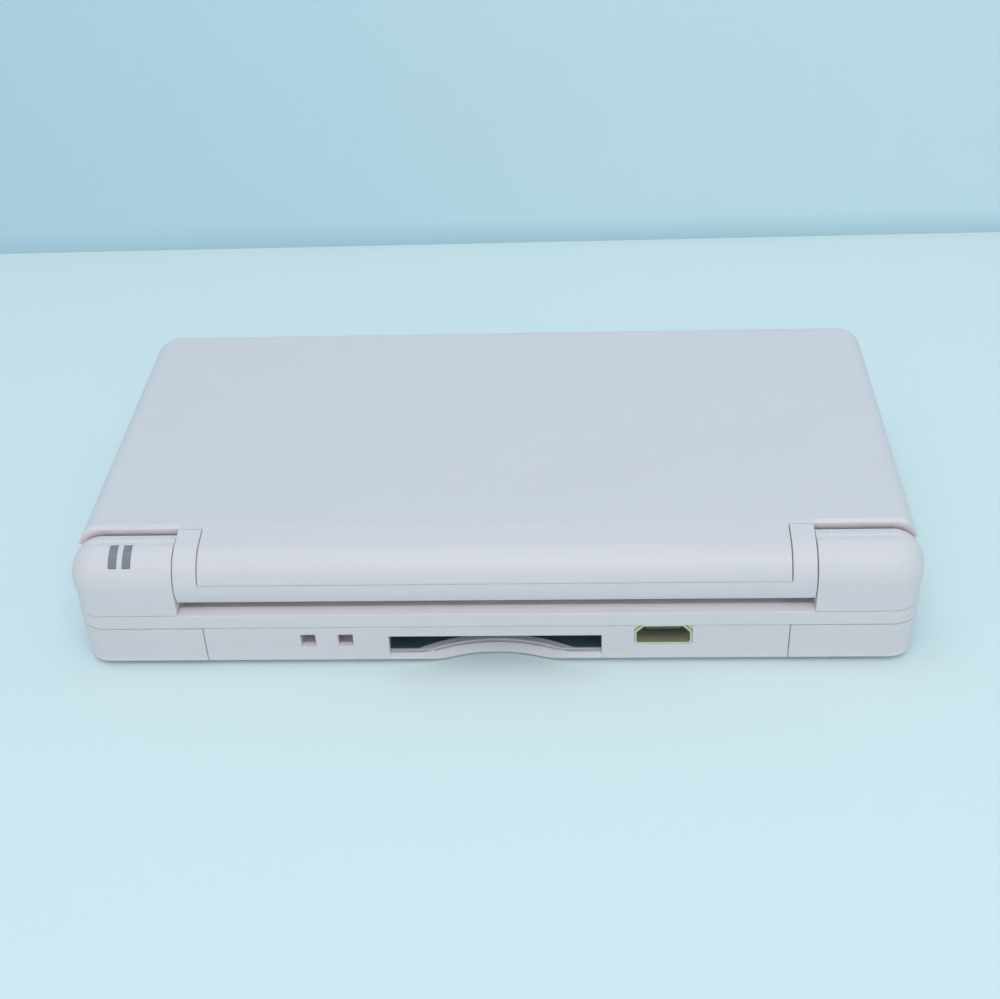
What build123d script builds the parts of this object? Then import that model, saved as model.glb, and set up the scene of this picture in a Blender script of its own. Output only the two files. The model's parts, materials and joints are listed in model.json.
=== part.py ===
from build123d import *
import os
from math import acos, asin, atan2, cos, degrees, radians, sin, sqrt, tan

# A clamshell handheld game console, shown closed. Millimetres, +Z up.
# The origin is on the table under the middle of the case. +X is the player's right,
# +Y points to the hinge, and the player sits on the -Y side.

# Overall form
console_width = 133.0
console_depth = 73.9
closed_height = 21.5
foot_height = 0.6
base_reveal = 0.25
lid_reveal = 0.6
corner_radius = 4.5
side_draft = 2.5
bottom_round = 1.4
face_round = 0.8
lid_edge_round = 3.0
lid_rim_round = 0.5

# Walls and levels
wall = 1.5
floor_wall = 1.2
face_wall = 1.2
lid_wall = 1.3
parting_height = 7.95
ledge_height = 10.5
face_height = 11.2
lid_gap = 1.1
lid_parting_height = 16.3
flat_gap = 0.05
seam_gap = 0.1
panel_gap = 0.15
seat_gap = 0.02

# Hinge
hinge_radius = 5.55
hinge_height = 15.4
opening_angle = 150.0
ear_length = 16.65
hinge_end_gap = 0.2
turning_gap = 0.3
stop_gap = 0.12
flange_width = 3.85
panel_thickness = 1.2
trough_wall = 1.0
barrel_bore = 2.15
shaft_gap = 0.05
barrel_lip_round = 1.1
crest_run = 3.4
crest_bevel = 0.5
flange_gap = 0.2
valley_angles = (79, 95)
valley_depth = 0.35
groove_width = 0.12
groove_depth = 0.15
socket_length = 4.2
shaft_key = 3.0
shaft_radius = 1.2
spring_washers = 4
washer_pitch = 1.6
pipe_width = 1.2
pipe_insets = (7.4, 9.6)
pipe_angles = (40, 82.3)
slot_angles = (39.3, 83)
led_level = hinge_height - 0.6
led_board_half = 2.6
led_margin = 2.2
led_leg = 0.6
led_size = (1.0, 1.6, 1.2)
led_forward = 0.4
cable_radius = 0.9
cable_x = 39.0
cable_width = 7.0

half_width = console_width / 2
rear = console_depth / 2
front = -rear
base_half = half_width - base_reveal
lid_half = half_width - lid_reveal
hinge_y = rear - hinge_radius
hinge_axis = Axis((0, hinge_y, hinge_height), (1, 0, 0))
ear_inner = half_width - ear_length
barrel_half = ear_inner - hinge_end_gap
panel_half = barrel_half - flange_width
trough_radius = hinge_radius + turning_gap
ear_room = hinge_radius - wall
pipe_centres = [half_width - inset for inset in pipe_insets]
floor_top = foot_height + floor_wall
face_under = face_height - face_wall
lid_under = face_height + lid_gap

# Main board and displays
board_thickness = 0.8
board_top = parting_height
board_under = board_top - board_thickness
board_margin = 1.2
board_rear = rear - 5.95
board_screw_gap = 0.4
chips = [((22.0, 4.0), (34.0, 16.0), 1.0), ((38.0, 8.0), (47.0, 17.0), 0.9)]
wireless_corners = ((30.8, -21.5), (48.8, -10.5))
wireless_thickness = 2.15
wireless_round = 0.8
screen_opening = (63.5, 48.0)
screen_y = -4.5
screen_chamfer = 0.5
panel_size = (68.0, 53.0)
touch_thickness = 0.65
display_size = (66.0, 51.0)
lower_display_thickness = 1.2
upper_display_thickness = 2.0
frame_wall = 1.2
window_thickness = 0.8
window_opening = (62.5, 48.0)
window_margin = 2.0
window_round = 1.5
upper_screen_y = -6.0
speaker_x = 50.0
speaker_size = (12.0, 17.0, 3.0)
speaker_thickness = 2.4
magnet_radius = 4.2
magnet_height = 4.35
magnet_bevel = 0.4
sound_hole_radius = 0.8
sound_hole_pitch = 3.4
sound_hole_grid = (2, 3)

# Controls
control_x = half_width - 17.0
control_y = 6.0
button_spacing = 7.4
button_radius = 3.3
button_rise = 0.8
button_bevel = 0.3
button_travel = 0.6
button_collar = 0.8
collar_thickness = 0.7
button_gap = 0.2
dome_radius = 2.2
membrane_thickness = 0.25
pad_span = 18.4
pad_arm = 6.4
pad_gap = 0.45
pad_rise = 0.55
pad_collar_radius = 10.2
pad_collar_thickness = 0.5
pad_dish_radius = 16.0
pad_dish_depth = 0.35
pivot_radius = 2.5
pivot_tip = 1.2
menu_radius = 1.7
menu_rise = 0.55
menu_bevel = 0.2
menu_travel = 0.45
menu_x = half_width - 24.0
menu_rows = (-14.5, -21.5)

# Shoulder buttons
shoulder_seam = half_width - 20.5
shoulder_low = foot_height + 0.5
shoulder_foot_round = 0.25
shoulder_leg = 7.0
shoulder_side_gap = 1.05
shoulder_wall = 1.5
pivot_x = shoulder_seam - 2.4
pivot_y = rear - 3.65
pin_radius = 0.8
boss_radius = 1.8
boss_low = 3.5
boss_high = board_under - 0.25
spring_wire = 0.2
spring_turns = 3
switch_x = half_width - 10.5
switch_half = 2.8
switch_back = 5.6
switch_depth = 3.4
switch_low = 3.6
plunger_reach = 0.9

# Rear features
card_width = 33.0
card_length = 35.0
slot_half = card_width / 2 + 0.3
slot_low = 2.1
slot_high = 6.1
slot_lip = 1.0
cage_metal = 0.25
cage_gap = 0.15
tray_end = rear - wall - 0.35
card_stop = tray_end - card_length + 0.6
tray_wall = 1.9
cage_floor = 0.15
cage_notch = 2.4
notch_radius = 21.2
notch_depth = 2.95
notch_slope = 38.0
contact_count = 17
strap_hole = (2.4, 2.5)
strap_centres = (29.6, 23.65)
strap_z = 5.3
strap_chamber_depth = 3.0
strap_drop = 1.2
port_centre = -26.45
port_width = 9.1
port_low = 4.1
port_depth = 7.0
port_metal = 0.3
tongue_half = 2.7
tongue_thickness = 0.9
tongue_rise = 0.6
tongue_setback = 1.5
port_chamfers = (0.45, 1.3)
port_recess = 0.6

# Front and side features
cartridge_half = 29.0
cartridge_low = 1.75
cartridge_high = board_under - 0.2
cartridge_depth = 27.0
cover_gap = 0.12
cover_wall = 1.1
cover_dip = (2.4, 9.0)
connector_thickness = 1.5
connector_reach = 3.1
connector_blade = (4.0, 4.8)
jack_x = half_width - 20.5
jack_size = (6.4, 13.4, 5.1)
jack_bore = 1.8
jack_bore_depth = 12.5
jack_z = 4.4
volume_x = -(half_width - 18.5)
volume_knob = (4.0, 2.0)
volume_travel = 3.0
volume_body = (2.0, 3.3)
power_y = -19.0
power_knob = (6.0, 2.0)
power_travel = 2.0
power_body = (3.9, 10.0, 3.4)
slider_z = 4.6
slider_recess = 0.4
ridge_pitch = 0.8
ridge_width = 0.35
ridge_depth = 0.2
stylus_length = 87.5
stylus_radius = 2.35
stylus_gap = 0.15
holder_width = 6.8
stylus_y = card_stop - tray_wall - holder_width / 2
stylus_z = 4.55
stylus_ring = (2.2, 0.4, 0.2)
holder_height = 4.55

# Battery, feet and screws
battery_size = (29.0, 42.0, 5.1)
battery_left = base_half - wall - 2.4
battery_y = -1.0
battery_play = 0.3
battery_round = 1.2
cover_step = 0.7
rib = 0.8
screw_radius = 0.85
screw_head = 1.5
screw_boss = 2.5
screw_spots = [(60.5 / 66.5 * half_width, front + 5.45), (60.5 / 66.5 * half_width, rear - 12.75)]
rear_screw = (36.5 / 66.5 * half_width, rear - 10.45)
foot_radius = 2.6
foot_bevel = 0.25
foot_sink = 0.55
foot_inset = (13.0, 11.0)

mirror_signs = (1, -1)


def side_plane(side, y):
    """A plane facing the side's outside edge: local x runs outwards along X, local y is Z."""
    return Plane(origin=(0, y, 0), x_dir=(side, 0, 0), z_dir=(0, -side, 0))


def down_plane(height):
    """A horizontal plane at this height that extrudes downwards."""
    return Plane(origin=(0, 0, height), x_dir=(1, 0, 0), z_dir=(0, 0, -1))


def block(low, high, mode=Mode.ADD):
    """A box from its low corner to its high corner."""
    with Locations(tuple((a + b) / 2 for a, b in zip(low, high))):
        Box(*(b - a for a, b in zip(low, high)), mode=mode)


def post(x, y, low, high, radius, mode=Mode.ADD):
    """An upright cylinder between two heights."""
    with Locations((x, y, (low + high) / 2)):
        Cylinder(radius, high - low, mode=mode)


def along_x(low, high, radius, mode=Mode.ADD, y=hinge_y, z=hinge_height):
    """A cylinder that lies along X between two places."""
    with Locations(Location(((low + high) / 2, y, z), (0, 90, 0))):
        Cylinder(radius, high - low, mode=mode)


def base_outline(inset=0.0):
    """The plan of the base, or the same plan set in by a wall."""
    RectangleRounded(2 * (base_half - inset), console_depth - 2 * inset, corner_radius - inset)


def drafted_wall(inset, low, mode=Mode.ADD):
    """The base's lower form, drawn in towards the table by the draft of its mould."""
    with BuildSketch(down_plane(parting_height)) as plan:
        base_outline(inset)
    extrude(plan.sketch, amount=parting_height - low, taper=side_draft, mode=mode)


def hinge_point(radius, angle):
    """The Y and Z of a place at this radius and angle, in degrees, round the hinge line."""
    return (hinge_y + radius * cos(radians(angle)), hinge_height + radius * sin(radians(angle)))


def hinge_sector(inner, outer, start, end):
    """A piece of a ring round the hinge line, between two angles in degrees."""
    centre = (hinge_y, hinge_height)
    with BuildLine() as outline:
        CenterArc(centre, outer, start, end - start)
        CenterArc(centre, inner, start, end - start)
        Line(hinge_point(inner, start), hinge_point(outer, start))
        Line(hinge_point(inner, end), hinge_point(outer, end))
    make_face(outline.edges())


def ear_section(side, inner, grow=0.0):
    """Half of an ear's section through the hinge line: a bar with a rounded outer end, and a clearance."""
    crown = hinge_height + hinge_radius + grow
    reach = half_width - corner_radius
    end = half_width + grow
    round_height = hinge_height + hinge_radius - corner_radius
    with BuildSketch(side_plane(side, hinge_y)) as section:
        with BuildLine():
            Polyline((end, hinge_height), (inner, hinge_height), (inner, crown), (reach, crown))
            CenterArc((reach, round_height), corner_radius + grow, 0, 90)
            Line((end, round_height), (end, hinge_height))
        make_face()
    return section.sketch


def port_outline(half, low, high, trim=0.0):
    """The charge port's mouth: small corners below and large ones above, less a trim for the metal."""
    small, large = (corner - trim for corner in port_chamfers)
    with BuildLine() as outline:
        Polyline(
            (port_centre - half + small, low),
            (port_centre + half - small, low),
            (port_centre + half, low + small),
            (port_centre + half, high - large),
            (port_centre + half - large, high),
            (port_centre - half + large, high),
            (port_centre - half, high - large),
            (port_centre - half, low + small),
            close=True,
        )
    make_face(outline.edges())


def wall_x(z):
    """How far out the drafted side of the base stands at a height."""
    return base_half - (parting_height - z) * tan(radians(side_draft))


screw_places = [(sign * x, y) for x, y in screw_spots + [rear_screw] for sign in mirror_signs]
foot_places = [
    (sx * (half_width - foot_inset[0]), sy * (rear - foot_inset[1]))
    for sx in mirror_signs
    for sy in mirror_signs
]

# The shoulder button's corner of the base: everything outside its seam and behind its front end
leg_end = rear - shoulder_leg


def corner_region(side, seam, leg, low, high, mode):
    block(
        (min(side * seam, side * console_width), leg, low),
        (max(side * seam, side * console_width), console_depth, high),
        mode,
    )


# ---------------------------------------------------------------- Base, bottom shell
with BuildPart() as base_bottom_shell:
    drafted_wall(0, foot_height)
    fillet(faces().sort_by(Axis.Z)[0].edges(), bottom_round)
    drafted_wall(wall, floor_top, Mode.SUBTRACT)
    # Battery bay: a ring of ribs round a through opening that the cover closes
    battery_x = -(battery_left - battery_size[0] / 2)
    with BuildSketch(Plane.XY.offset(floor_top)):
        with Locations((battery_x, battery_y)):
            bay = [length + 2 * battery_play for length in battery_size[:2]]
            Rectangle(bay[0] + 2 * rib, bay[1] + 2 * rib)
            Rectangle(bay[0], bay[1], mode=Mode.SUBTRACT)
    extrude(amount=board_under - 0.15 - floor_top)
    with BuildSketch(Plane.XY):
        with Locations((battery_x, battery_y)):
            cover_plan = [length + 0.4 for length in battery_size[:2]]
            RectangleRounded(*(length - 2 * cover_step for length in cover_plan), 2.0)
    extrude(amount=floor_top, mode=Mode.SUBTRACT)
    with BuildSketch(Plane.XY):
        with Locations((battery_x, battery_y)):
            RectangleRounded(*cover_plan, 2.5)
    extrude(amount=foot_height + floor_wall / 2, mode=Mode.SUBTRACT)
    # Cartridge guide rails
    for side in mirror_signs:
        rail = sorted((side * cartridge_half, side * (cartridge_half + rib)))
        block((rail[0], front + wall, floor_top), (rail[1], front + cartridge_depth, cartridge_high))
    block(
        (-cartridge_half, front - 1, cartridge_low),
        (cartridge_half, front + 2 * wall, cartridge_high),
        Mode.SUBTRACT,
    )
    # Strap chamber behind the rear wall, split from the holes by the bar between them
    strap_mid = sum(strap_centres) / 2
    strap_half = (strap_centres[0] - strap_centres[1] + strap_hole[0]) / 2
    strap_low = strap_z - strap_hole[1] / 2
    strap_high = strap_z + strap_hole[1] / 2
    block(
        (strap_mid - strap_half - rib, rear - wall - strap_chamber_depth - rib, floor_top - 0.1),
        (strap_mid + strap_half + rib, rear - wall, strap_high + rib),
    )
    block(
        (strap_mid - strap_half, rear - wall - strap_chamber_depth, strap_low - strap_drop),
        (strap_mid + strap_half, rear - wall, strap_high),
        Mode.SUBTRACT,
    )
    for centre in strap_centres:
        block(
            (centre - strap_hole[0] / 2, rear - 2 * wall, strap_low),
            (centre + strap_hole[0] / 2, rear + 1, strap_high),
            Mode.SUBTRACT,
        )
    # Card slot with its sloping lip, and the finger notch under it
    with BuildSketch(Plane.YZ.offset(-slot_half)):
        with BuildLine():
            Polyline(
                (rear - 2 * wall, slot_low - 0.3),
                (rear - slot_lip, slot_low),
                (rear + 1, slot_low - 1.4),
                (rear + 1, slot_high),
                (rear - 2 * wall, slot_high),
                close=True,
            )
        make_face()
    extrude(amount=2 * slot_half, mode=Mode.SUBTRACT)
    notch_y = rear - notch_depth + notch_radius
    with BuildSketch(Plane.XY.offset(foot_height)):
        with Locations((0, notch_y)):
            Circle(notch_radius)
    extrude(amount=slot_low - foot_height, taper=-notch_slope, mode=Mode.SUBTRACT)
    # Charge port, open up to the joint line, with a shallow square recess round its mouth
    with BuildSketch(Plane.XZ.offset(-rear - 1)):
        port_outline(port_width / 2, port_low, parting_height)
    extrude(amount=2 * wall + 1, mode=Mode.SUBTRACT)
    block(
        (port_centre - port_width / 2, rear - port_recess, parting_height - 2 * port_chamfers[1]),
        (port_centre + port_width / 2, rear + 1, parting_height + 1),
        Mode.SUBTRACT,
    )
    # Headphone jack, volume slider and its shallow recess
    block(
        (jack_x - jack_size[0] / 2 - 0.1, front - 1, jack_z - jack_size[2] / 2 - 0.1),
        (jack_x + jack_size[0] / 2 + 0.1, front + 2 * wall, jack_z + jack_size[2] / 2 + 0.1),
        Mode.SUBTRACT,
    )
    volume_slot = volume_knob[0] / 2 + volume_travel + button_gap
    block(
        (volume_x - volume_slot, front - 1, slider_z - volume_knob[1] / 2 - button_gap),
        (volume_x + volume_slot, front + 2 * wall, slider_z + volume_knob[1] / 2 + button_gap),
        Mode.SUBTRACT,
    )
    front_at_slider = front + (parting_height - slider_z) * tan(radians(side_draft))
    with BuildSketch(Plane.XZ.offset(-front_at_slider - slider_recess)):
        with Locations((volume_x, slider_z)):
            SlotOverall(2 * volume_slot + 2.4, volume_knob[1] + 1.8)
    extrude(amount=2, mode=Mode.SUBTRACT)
    # Power slider and its recess, stylus mouth
    power_slot = (power_knob[0] + power_travel) / 2 + button_gap
    power_mid = power_y + power_travel / 2
    block(
        (base_half - 2 * wall, power_mid - power_slot, slider_z - power_knob[1] / 2 - button_gap),
        (half_width + 1, power_mid + power_slot, slider_z + power_knob[1] / 2 + button_gap),
        Mode.SUBTRACT,
    )
    with BuildSketch(Plane.YZ.offset(wall_x(slider_z) - slider_recess)):
        with Locations((power_mid, slider_z)):
            SlotOverall(2 * power_slot + 2.4, power_knob[1] + 1.8)
    extrude(amount=2, mode=Mode.SUBTRACT)
    along_x(
        base_half - 2 * wall, half_width + 1, stylus_radius + stylus_gap, Mode.SUBTRACT, stylus_y, stylus_z
    )
    # Corners that the shoulder buttons fill, with a socket for each pivot pin
    for side in mirror_signs:
        corner_region(
            side, shoulder_seam, leg_end - shoulder_side_gap, shoulder_low, console_width, Mode.SUBTRACT
        )
        post(side * pivot_x, pivot_y, floor_top - 0.1, floor_top + 0.3, boss_radius)
        post(side * pivot_x, pivot_y, foot_height + 0.4, floor_top + 1, pin_radius, Mode.SUBTRACT)
    # Screw posts, counterbored from below, and the pockets of the feet
    for x, y in screw_places:
        post(x, y, floor_top - 0.1, board_under - 0.15, screw_boss)
        post(x, y, 0, board_under, screw_radius + 0.15, Mode.SUBTRACT)
        post(x, y, 0, floor_top + 0.6, screw_head + 0.2, Mode.SUBTRACT)
    for x, y in foot_places:
        post(x, y, 0, foot_height + foot_sink + flat_gap, foot_radius + seam_gap, Mode.SUBTRACT)

# ---------------------------------------------------------------- Base, top shell
top_low = parting_height + seam_gap
with BuildPart() as base_top_shell:
    with BuildSketch(Plane.XY.offset(top_low)):
        base_outline()
    extrude(amount=face_height - top_low)
    fillet(faces().sort_by(Axis.Z)[-1].edges(), face_round)
    with BuildSketch(Plane.XY.offset(parting_height)):
        base_outline(wall)
    extrude(amount=face_under - parting_height, mode=Mode.SUBTRACT)
    # Wall of the trough that the lid's barrel turns in
    with BuildSketch(Plane.YZ.offset(-ear_inner)):
        with Locations((hinge_y, hinge_height)):
            Circle(trough_radius + trough_wall)
        with Locations((hinge_y, (top_low + ledge_height) / 2)):
            Rectangle(4 * hinge_radius, ledge_height - top_low, mode=Mode.INTERSECT)
    extrude(amount=2 * ear_inner)
    for side in mirror_signs:
        # Each ear: a round-ended cylinder on the hinge line over an upright rear wall
        revolve(ear_section(side, ear_inner), axis=hinge_axis)
        with BuildSketch(Plane.XY.offset(parting_height)):
            base_outline()
            with Locations((side * (ear_inner + ear_length / 2), hinge_y + hinge_radius / 2)):
                Rectangle(ear_length, hinge_radius, mode=Mode.INTERSECT)
        extrude(amount=hinge_height - parting_height)
    # Clear the lower half of the ear cylinders where they would reach into the base
    block((-half_width, front, 0), (half_width, rear, top_low), Mode.SUBTRACT)
    # The trough itself and the ledge behind it
    along_x(-ear_inner, ear_inner, trough_radius, Mode.SUBTRACT)
    block((-ear_inner, hinge_y, ledge_height), (ear_inner, rear + 1, closed_height), Mode.SUBTRACT)
    # A narrow valley along the top of each ear: a floor that sinks slowly and ends in a small upright step
    for side in mirror_signs:
        low, high = sorted((side * ear_inner, side * (half_width + 1)))
        with BuildSketch(Plane.YZ.offset(low)):
            with BuildLine():
                Polyline(
                    hinge_point(hinge_radius, valley_angles[0]),
                    hinge_point(hinge_radius - valley_depth, valley_angles[1]),
                    hinge_point(hinge_radius * 1.3, valley_angles[1]),
                    hinge_point(hinge_radius * 1.3, valley_angles[0]),
                    close=True,
                )
            make_face()
        extrude(amount=high - low, mode=Mode.SUBTRACT)
        # A fine groove round the ear's foot, level with the ledge
        with BuildSketch(Plane.XY.offset(ledge_height - groove_width / 2)):
            base_outline(-1)
            base_outline(groove_depth)
            with Locations((side * (ear_inner + ear_length / 2), hinge_y + hinge_radius / 2 + 1)):
                Rectangle(ear_length, hinge_radius + 2, mode=Mode.INTERSECT)
        extrude(amount=groove_width, mode=Mode.SUBTRACT)
    # Hollow ears, open downwards into the base
    for side in mirror_signs:
        room = sorted((side * (ear_inner + socket_length), side * (half_width - wall - 1.2)))
        along_x(room[0], room[1], ear_room, Mode.SUBTRACT)
        block(
            (room[0], hinge_y - ear_room + 0.6, parting_height - 1),
            (room[1], hinge_y + ear_room - 0.6, hinge_height),
            Mode.SUBTRACT,
        )
    # Left ear: a round seat for the cable bush. Right ear: a square seat for the hinge shaft
    bush_seat = barrel_bore + 0.85
    along_x(-ear_inner - socket_length - 0.5, -ear_inner + 0.5, bush_seat, Mode.SUBTRACT)
    block(
        (ear_inner - 0.5, hinge_y - shaft_key / 2 - flat_gap, hinge_height - shaft_key / 2 - flat_gap),
        (
            ear_inner + socket_length + 0.5,
            hinge_y + shaft_key / 2 + flat_gap,
            hinge_height + shaft_key / 2 + flat_gap,
        ),
        Mode.SUBTRACT,
    )
    # Slots for the two light pipes, cut through the right ear's crown
    for centre in pipe_centres:
        with BuildSketch(Plane.YZ.offset(centre - pipe_width / 2 - flat_gap)):
            hinge_sector(ear_room - 1, hinge_radius + 1, *slot_angles)
        extrude(amount=pipe_width + 2 * flat_gap, mode=Mode.SUBTRACT)
    # Touch screen opening with its bevel
    with BuildSketch(Plane.XY.offset(face_under - 1)):
        with Locations((0, screen_y)):
            RectangleRounded(screen_opening[0], screen_opening[1], 1.0)
    extrude(amount=face_wall + 2, mode=Mode.SUBTRACT)
    screen_edges = edges().filter_by(
        lambda e: abs(e.center().Z - face_height) < 0.01
        and abs(e.center().X) < screen_opening[0] / 2 + 0.1
        and abs(e.center().Y - screen_y) < screen_opening[1] / 2 + 0.1
    )
    chamfer(screen_edges, screen_chamfer)
    # Holes for the direction pad and the buttons
    with BuildSketch(Plane.XY.offset(face_under - 1)):
        with Locations((-control_x, control_y)):
            Rectangle(pad_span + 2 * pad_gap, pad_arm + 2 * pad_gap)
            Rectangle(pad_arm + 2 * pad_gap, pad_span + 2 * pad_gap)
        with Locations((control_x, control_y)):
            with PolarLocations(button_spacing, 4):
                Circle(button_radius + button_gap)
        with Locations(*[(menu_x, y) for y in menu_rows]):
            Circle(menu_radius + button_gap)
    extrude(amount=face_wall + 2, mode=Mode.SUBTRACT)
    # Screw posts under the face
    for x, y in screw_places:
        post(x, y, board_top + flat_gap, face_under + 0.1, screw_boss - 0.5)
        post(x, y, board_top - 1, face_under - 0.4, screw_radius + shaft_gap, Mode.SUBTRACT)

# ---------------------------------------------------------------- Base, covers, feet, screws
with BuildPart() as battery_cover:
    with BuildSketch(Plane.XY.offset(foot_height)):
        with Locations((battery_x, battery_y)):
            RectangleRounded(*(length - 2 * panel_gap for length in cover_plan), 2.4)
    extrude(amount=floor_wall / 2 - flat_gap)
    with BuildSketch(Plane.XY.offset(foot_height)):
        with Locations((battery_x, battery_y)):
            RectangleRounded(*(length - 2 * cover_step - 2 * panel_gap for length in cover_plan), 1.9)
    extrude(amount=floor_wall)
    cover_screw = (battery_x, battery_y + battery_size[1] / 2 - 3.0)
    post(*cover_screw, foot_height - 1, floor_top + 1, screw_radius + 0.1, Mode.SUBTRACT)
    post(*cover_screw, foot_height - 1, foot_height + 0.6, screw_head + 0.1, Mode.SUBTRACT)

with BuildPart() as battery_cover_screw:
    post(*cover_screw, foot_height + 0.05, foot_height + 0.6, screw_head)
    post(*cover_screw, foot_height + 0.3, floor_top + 0.05, screw_radius)

with BuildPart() as battery:
    battery_low = floor_top + 0.1
    block(
        (battery_x - battery_size[0] / 2, battery_y - battery_size[1] / 2, battery_low),
        (battery_x + battery_size[0] / 2, battery_y + battery_size[1] / 2, battery_low + battery_size[2]),
    )
    fillet(edges().filter_by(Axis.Y), battery_round)

with BuildPart() as case_screws:
    screw_seat = floor_top + 0.6
    for x, y in screw_places:
        post(x, y, screw_seat - 1.0, screw_seat, screw_head)
        post(x, y, screw_seat - 0.5, face_under - 0.6, screw_radius)

with BuildPart() as feet:
    for x, y in foot_places:
        post(x, y, 0, foot_height + foot_sink, foot_radius)
    chamfer(edges().group_by(Axis.Z)[0], foot_bevel)

# ---------------------------------------------------------------- Base, boards and displays
stylus_out = wall_x(stylus_z) - 0.1
stylus_in = stylus_out - stylus_length
with BuildPart() as main_board:
    with BuildSketch(Plane.XY.offset(board_under)):
        Rectangle(2 * (base_half - wall - board_margin), console_depth)
        with Locations((0, (front + wall + board_margin + board_rear) / 2)):
            Rectangle(console_width, board_rear - front - wall - board_margin, mode=Mode.INTERSECT)
        with Locations(*screw_places):
            Circle(screw_radius + board_screw_gap, mode=Mode.SUBTRACT)
        with Locations((port_centre, board_rear)):
            Rectangle(port_width + 1.0, 2 * (board_rear - rear + port_depth) + 0.6, mode=Mode.SUBTRACT)
    extrude(amount=board_thickness - seat_gap)
    # Two chips under the board, between the slots
    for near, far, thickness in chips:
        block((*near, board_under - thickness), (*far, board_under + 0.1))
    # A thicker stylus needs its channel cut into the board as well
    along_x(stylus_in - 0.2, half_width, stylus_radius + stylus_gap, Mode.SUBTRACT, stylus_y, stylus_z)

with BuildPart() as wireless_module:
    block(
        (*wireless_corners[0], board_under - flat_gap - wireless_thickness),
        (*wireless_corners[1], board_under - flat_gap),
    )
    fillet(edges().filter_by(Axis.Z), wireless_round)

with BuildPart() as lower_display:
    display_low = board_top + flat_gap
    block(
        (-display_size[0] / 2, screen_y - display_size[1] / 2, display_low),
        (display_size[0] / 2, screen_y + display_size[1] / 2, display_low + lower_display_thickness),
    )

with BuildPart() as lower_display_frame:
    with BuildSketch(Plane.XY.offset(display_low)):
        with Locations((0, screen_y)):
            Rectangle(display_size[0] + 2 * frame_wall, display_size[1] + 2 * frame_wall)
            Rectangle(display_size[0] + 2 * flat_gap, display_size[1] + 2 * flat_gap, mode=Mode.SUBTRACT)
    extrude(amount=lower_display_thickness)

with BuildPart() as touch_panel:
    block(
        (-panel_size[0] / 2, screen_y - panel_size[1] / 2, face_under - flat_gap - touch_thickness),
        (panel_size[0] / 2, screen_y + panel_size[1] / 2, face_under - flat_gap),
    )

# ---------------------------------------------------------------- Card slot
tray_half = slot_half + cage_gap + cage_metal
with BuildPart() as card_tray:
    block((-tray_half, card_stop - tray_wall, floor_top + flat_gap), (tray_half, tray_end, slot_low))
    block((-tray_half, card_stop - tray_wall, floor_top + flat_gap), (tray_half, card_stop, slot_high))
    with BuildSketch(Plane.XY.offset(foot_height)):
        with Locations((0, notch_y)):
            Circle(notch_radius + 0.3)
    extrude(amount=slot_low - foot_height + 0.1, taper=-notch_slope, mode=Mode.SUBTRACT)

cage_low = slot_low + seat_gap
with BuildPart() as card_cage:
    block((-tray_half, card_stop + flat_gap, cage_low), (tray_half, tray_end, slot_high + cage_metal))
    block(
        (-tray_half + cage_metal, card_stop - 1, cage_low + cage_floor),
        (tray_half - cage_metal, rear, slot_high),
        Mode.SUBTRACT,
    )
    # The floor is a thin sheet, cut back round the finger notch
    with BuildSketch(Plane.XY.offset(cage_low - 1)):
        with Locations((0, notch_y)):
            Circle(notch_radius + cage_notch)
        Rectangle(2 * (tray_half - cage_metal), 2 * rear, mode=Mode.INTERSECT)
    extrude(amount=cage_floor + 2, mode=Mode.SUBTRACT)

with BuildPart() as card_contacts:
    pitch = card_width / (contact_count + 1)
    contact_low = cage_low + cage_floor + seat_gap
    for index in range(contact_count):
        x = (index - (contact_count - 1) / 2) * pitch
        with BuildSketch(Plane.YZ.offset(x - pitch * 0.3)):
            with BuildLine():
                Polyline(
                    (card_stop, contact_low),
                    (card_stop + 4.5, contact_low),
                    (card_stop + 3.6, contact_low + 0.6),
                    (card_stop + 2.7, contact_low + 0.2),
                    (card_stop, contact_low + 0.2),
                    close=True,
                )
            make_face()
        extrude(amount=pitch * 0.6)

# ---------------------------------------------------------------- Cartridge slot
with BuildPart() as cartridge_connector:
    connector_half = cartridge_half - 1.5
    connector_front = front + cartridge_depth + 0.1
    block(
        (-connector_half, connector_front, floor_top + flat_gap),
        (connector_half, connector_front + connector_thickness, board_under - flat_gap),
    )
    block(
        (-connector_half + 4.5, connector_front - connector_reach, connector_blade[0]),
        (connector_half - 4.5, connector_front + 0.4, connector_blade[1]),
    )

with BuildPart() as cartridge_cover:
    cover_half = cartridge_half - cover_gap
    cover_low, cover_high = cartridge_low + cover_gap, cartridge_high - cover_gap
    cover_end = front + cartridge_depth - 3.4
    block((-cover_half, front + 0.3, cover_low), (cover_half, cover_end, cover_high))
    block(
        (-cover_half + cover_wall, front + 0.3 + 2 * cover_wall, cover_low - 1),
        (cover_half - cover_wall, cover_end + 1, cover_high - cover_wall),
        Mode.SUBTRACT,
    )
    # Finger dip under the front edge
    with Locations(Location((0, front - cover_dip[0] / 2, cover_low), (0, 90, 0))):
        Cylinder(*cover_dip, mode=Mode.SUBTRACT)

# ---------------------------------------------------------------- Charge port
with BuildPart() as charge_port_shell:
    port_half = port_width / 2 - flat_gap
    port_high = parting_height - flat_gap
    with BuildSketch(Plane.XZ.offset(-(rear - 0.3))):
        port_outline(port_half, port_low + flat_gap, port_high)
    extrude(amount=port_depth)
    with BuildSketch(Plane.XZ.offset(-(rear + 0.1))):
        port_outline(port_half - port_metal, port_low + flat_gap + port_metal, port_high - port_metal, 0.15)
    extrude(amount=port_depth - port_metal, mode=Mode.SUBTRACT)

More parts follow.
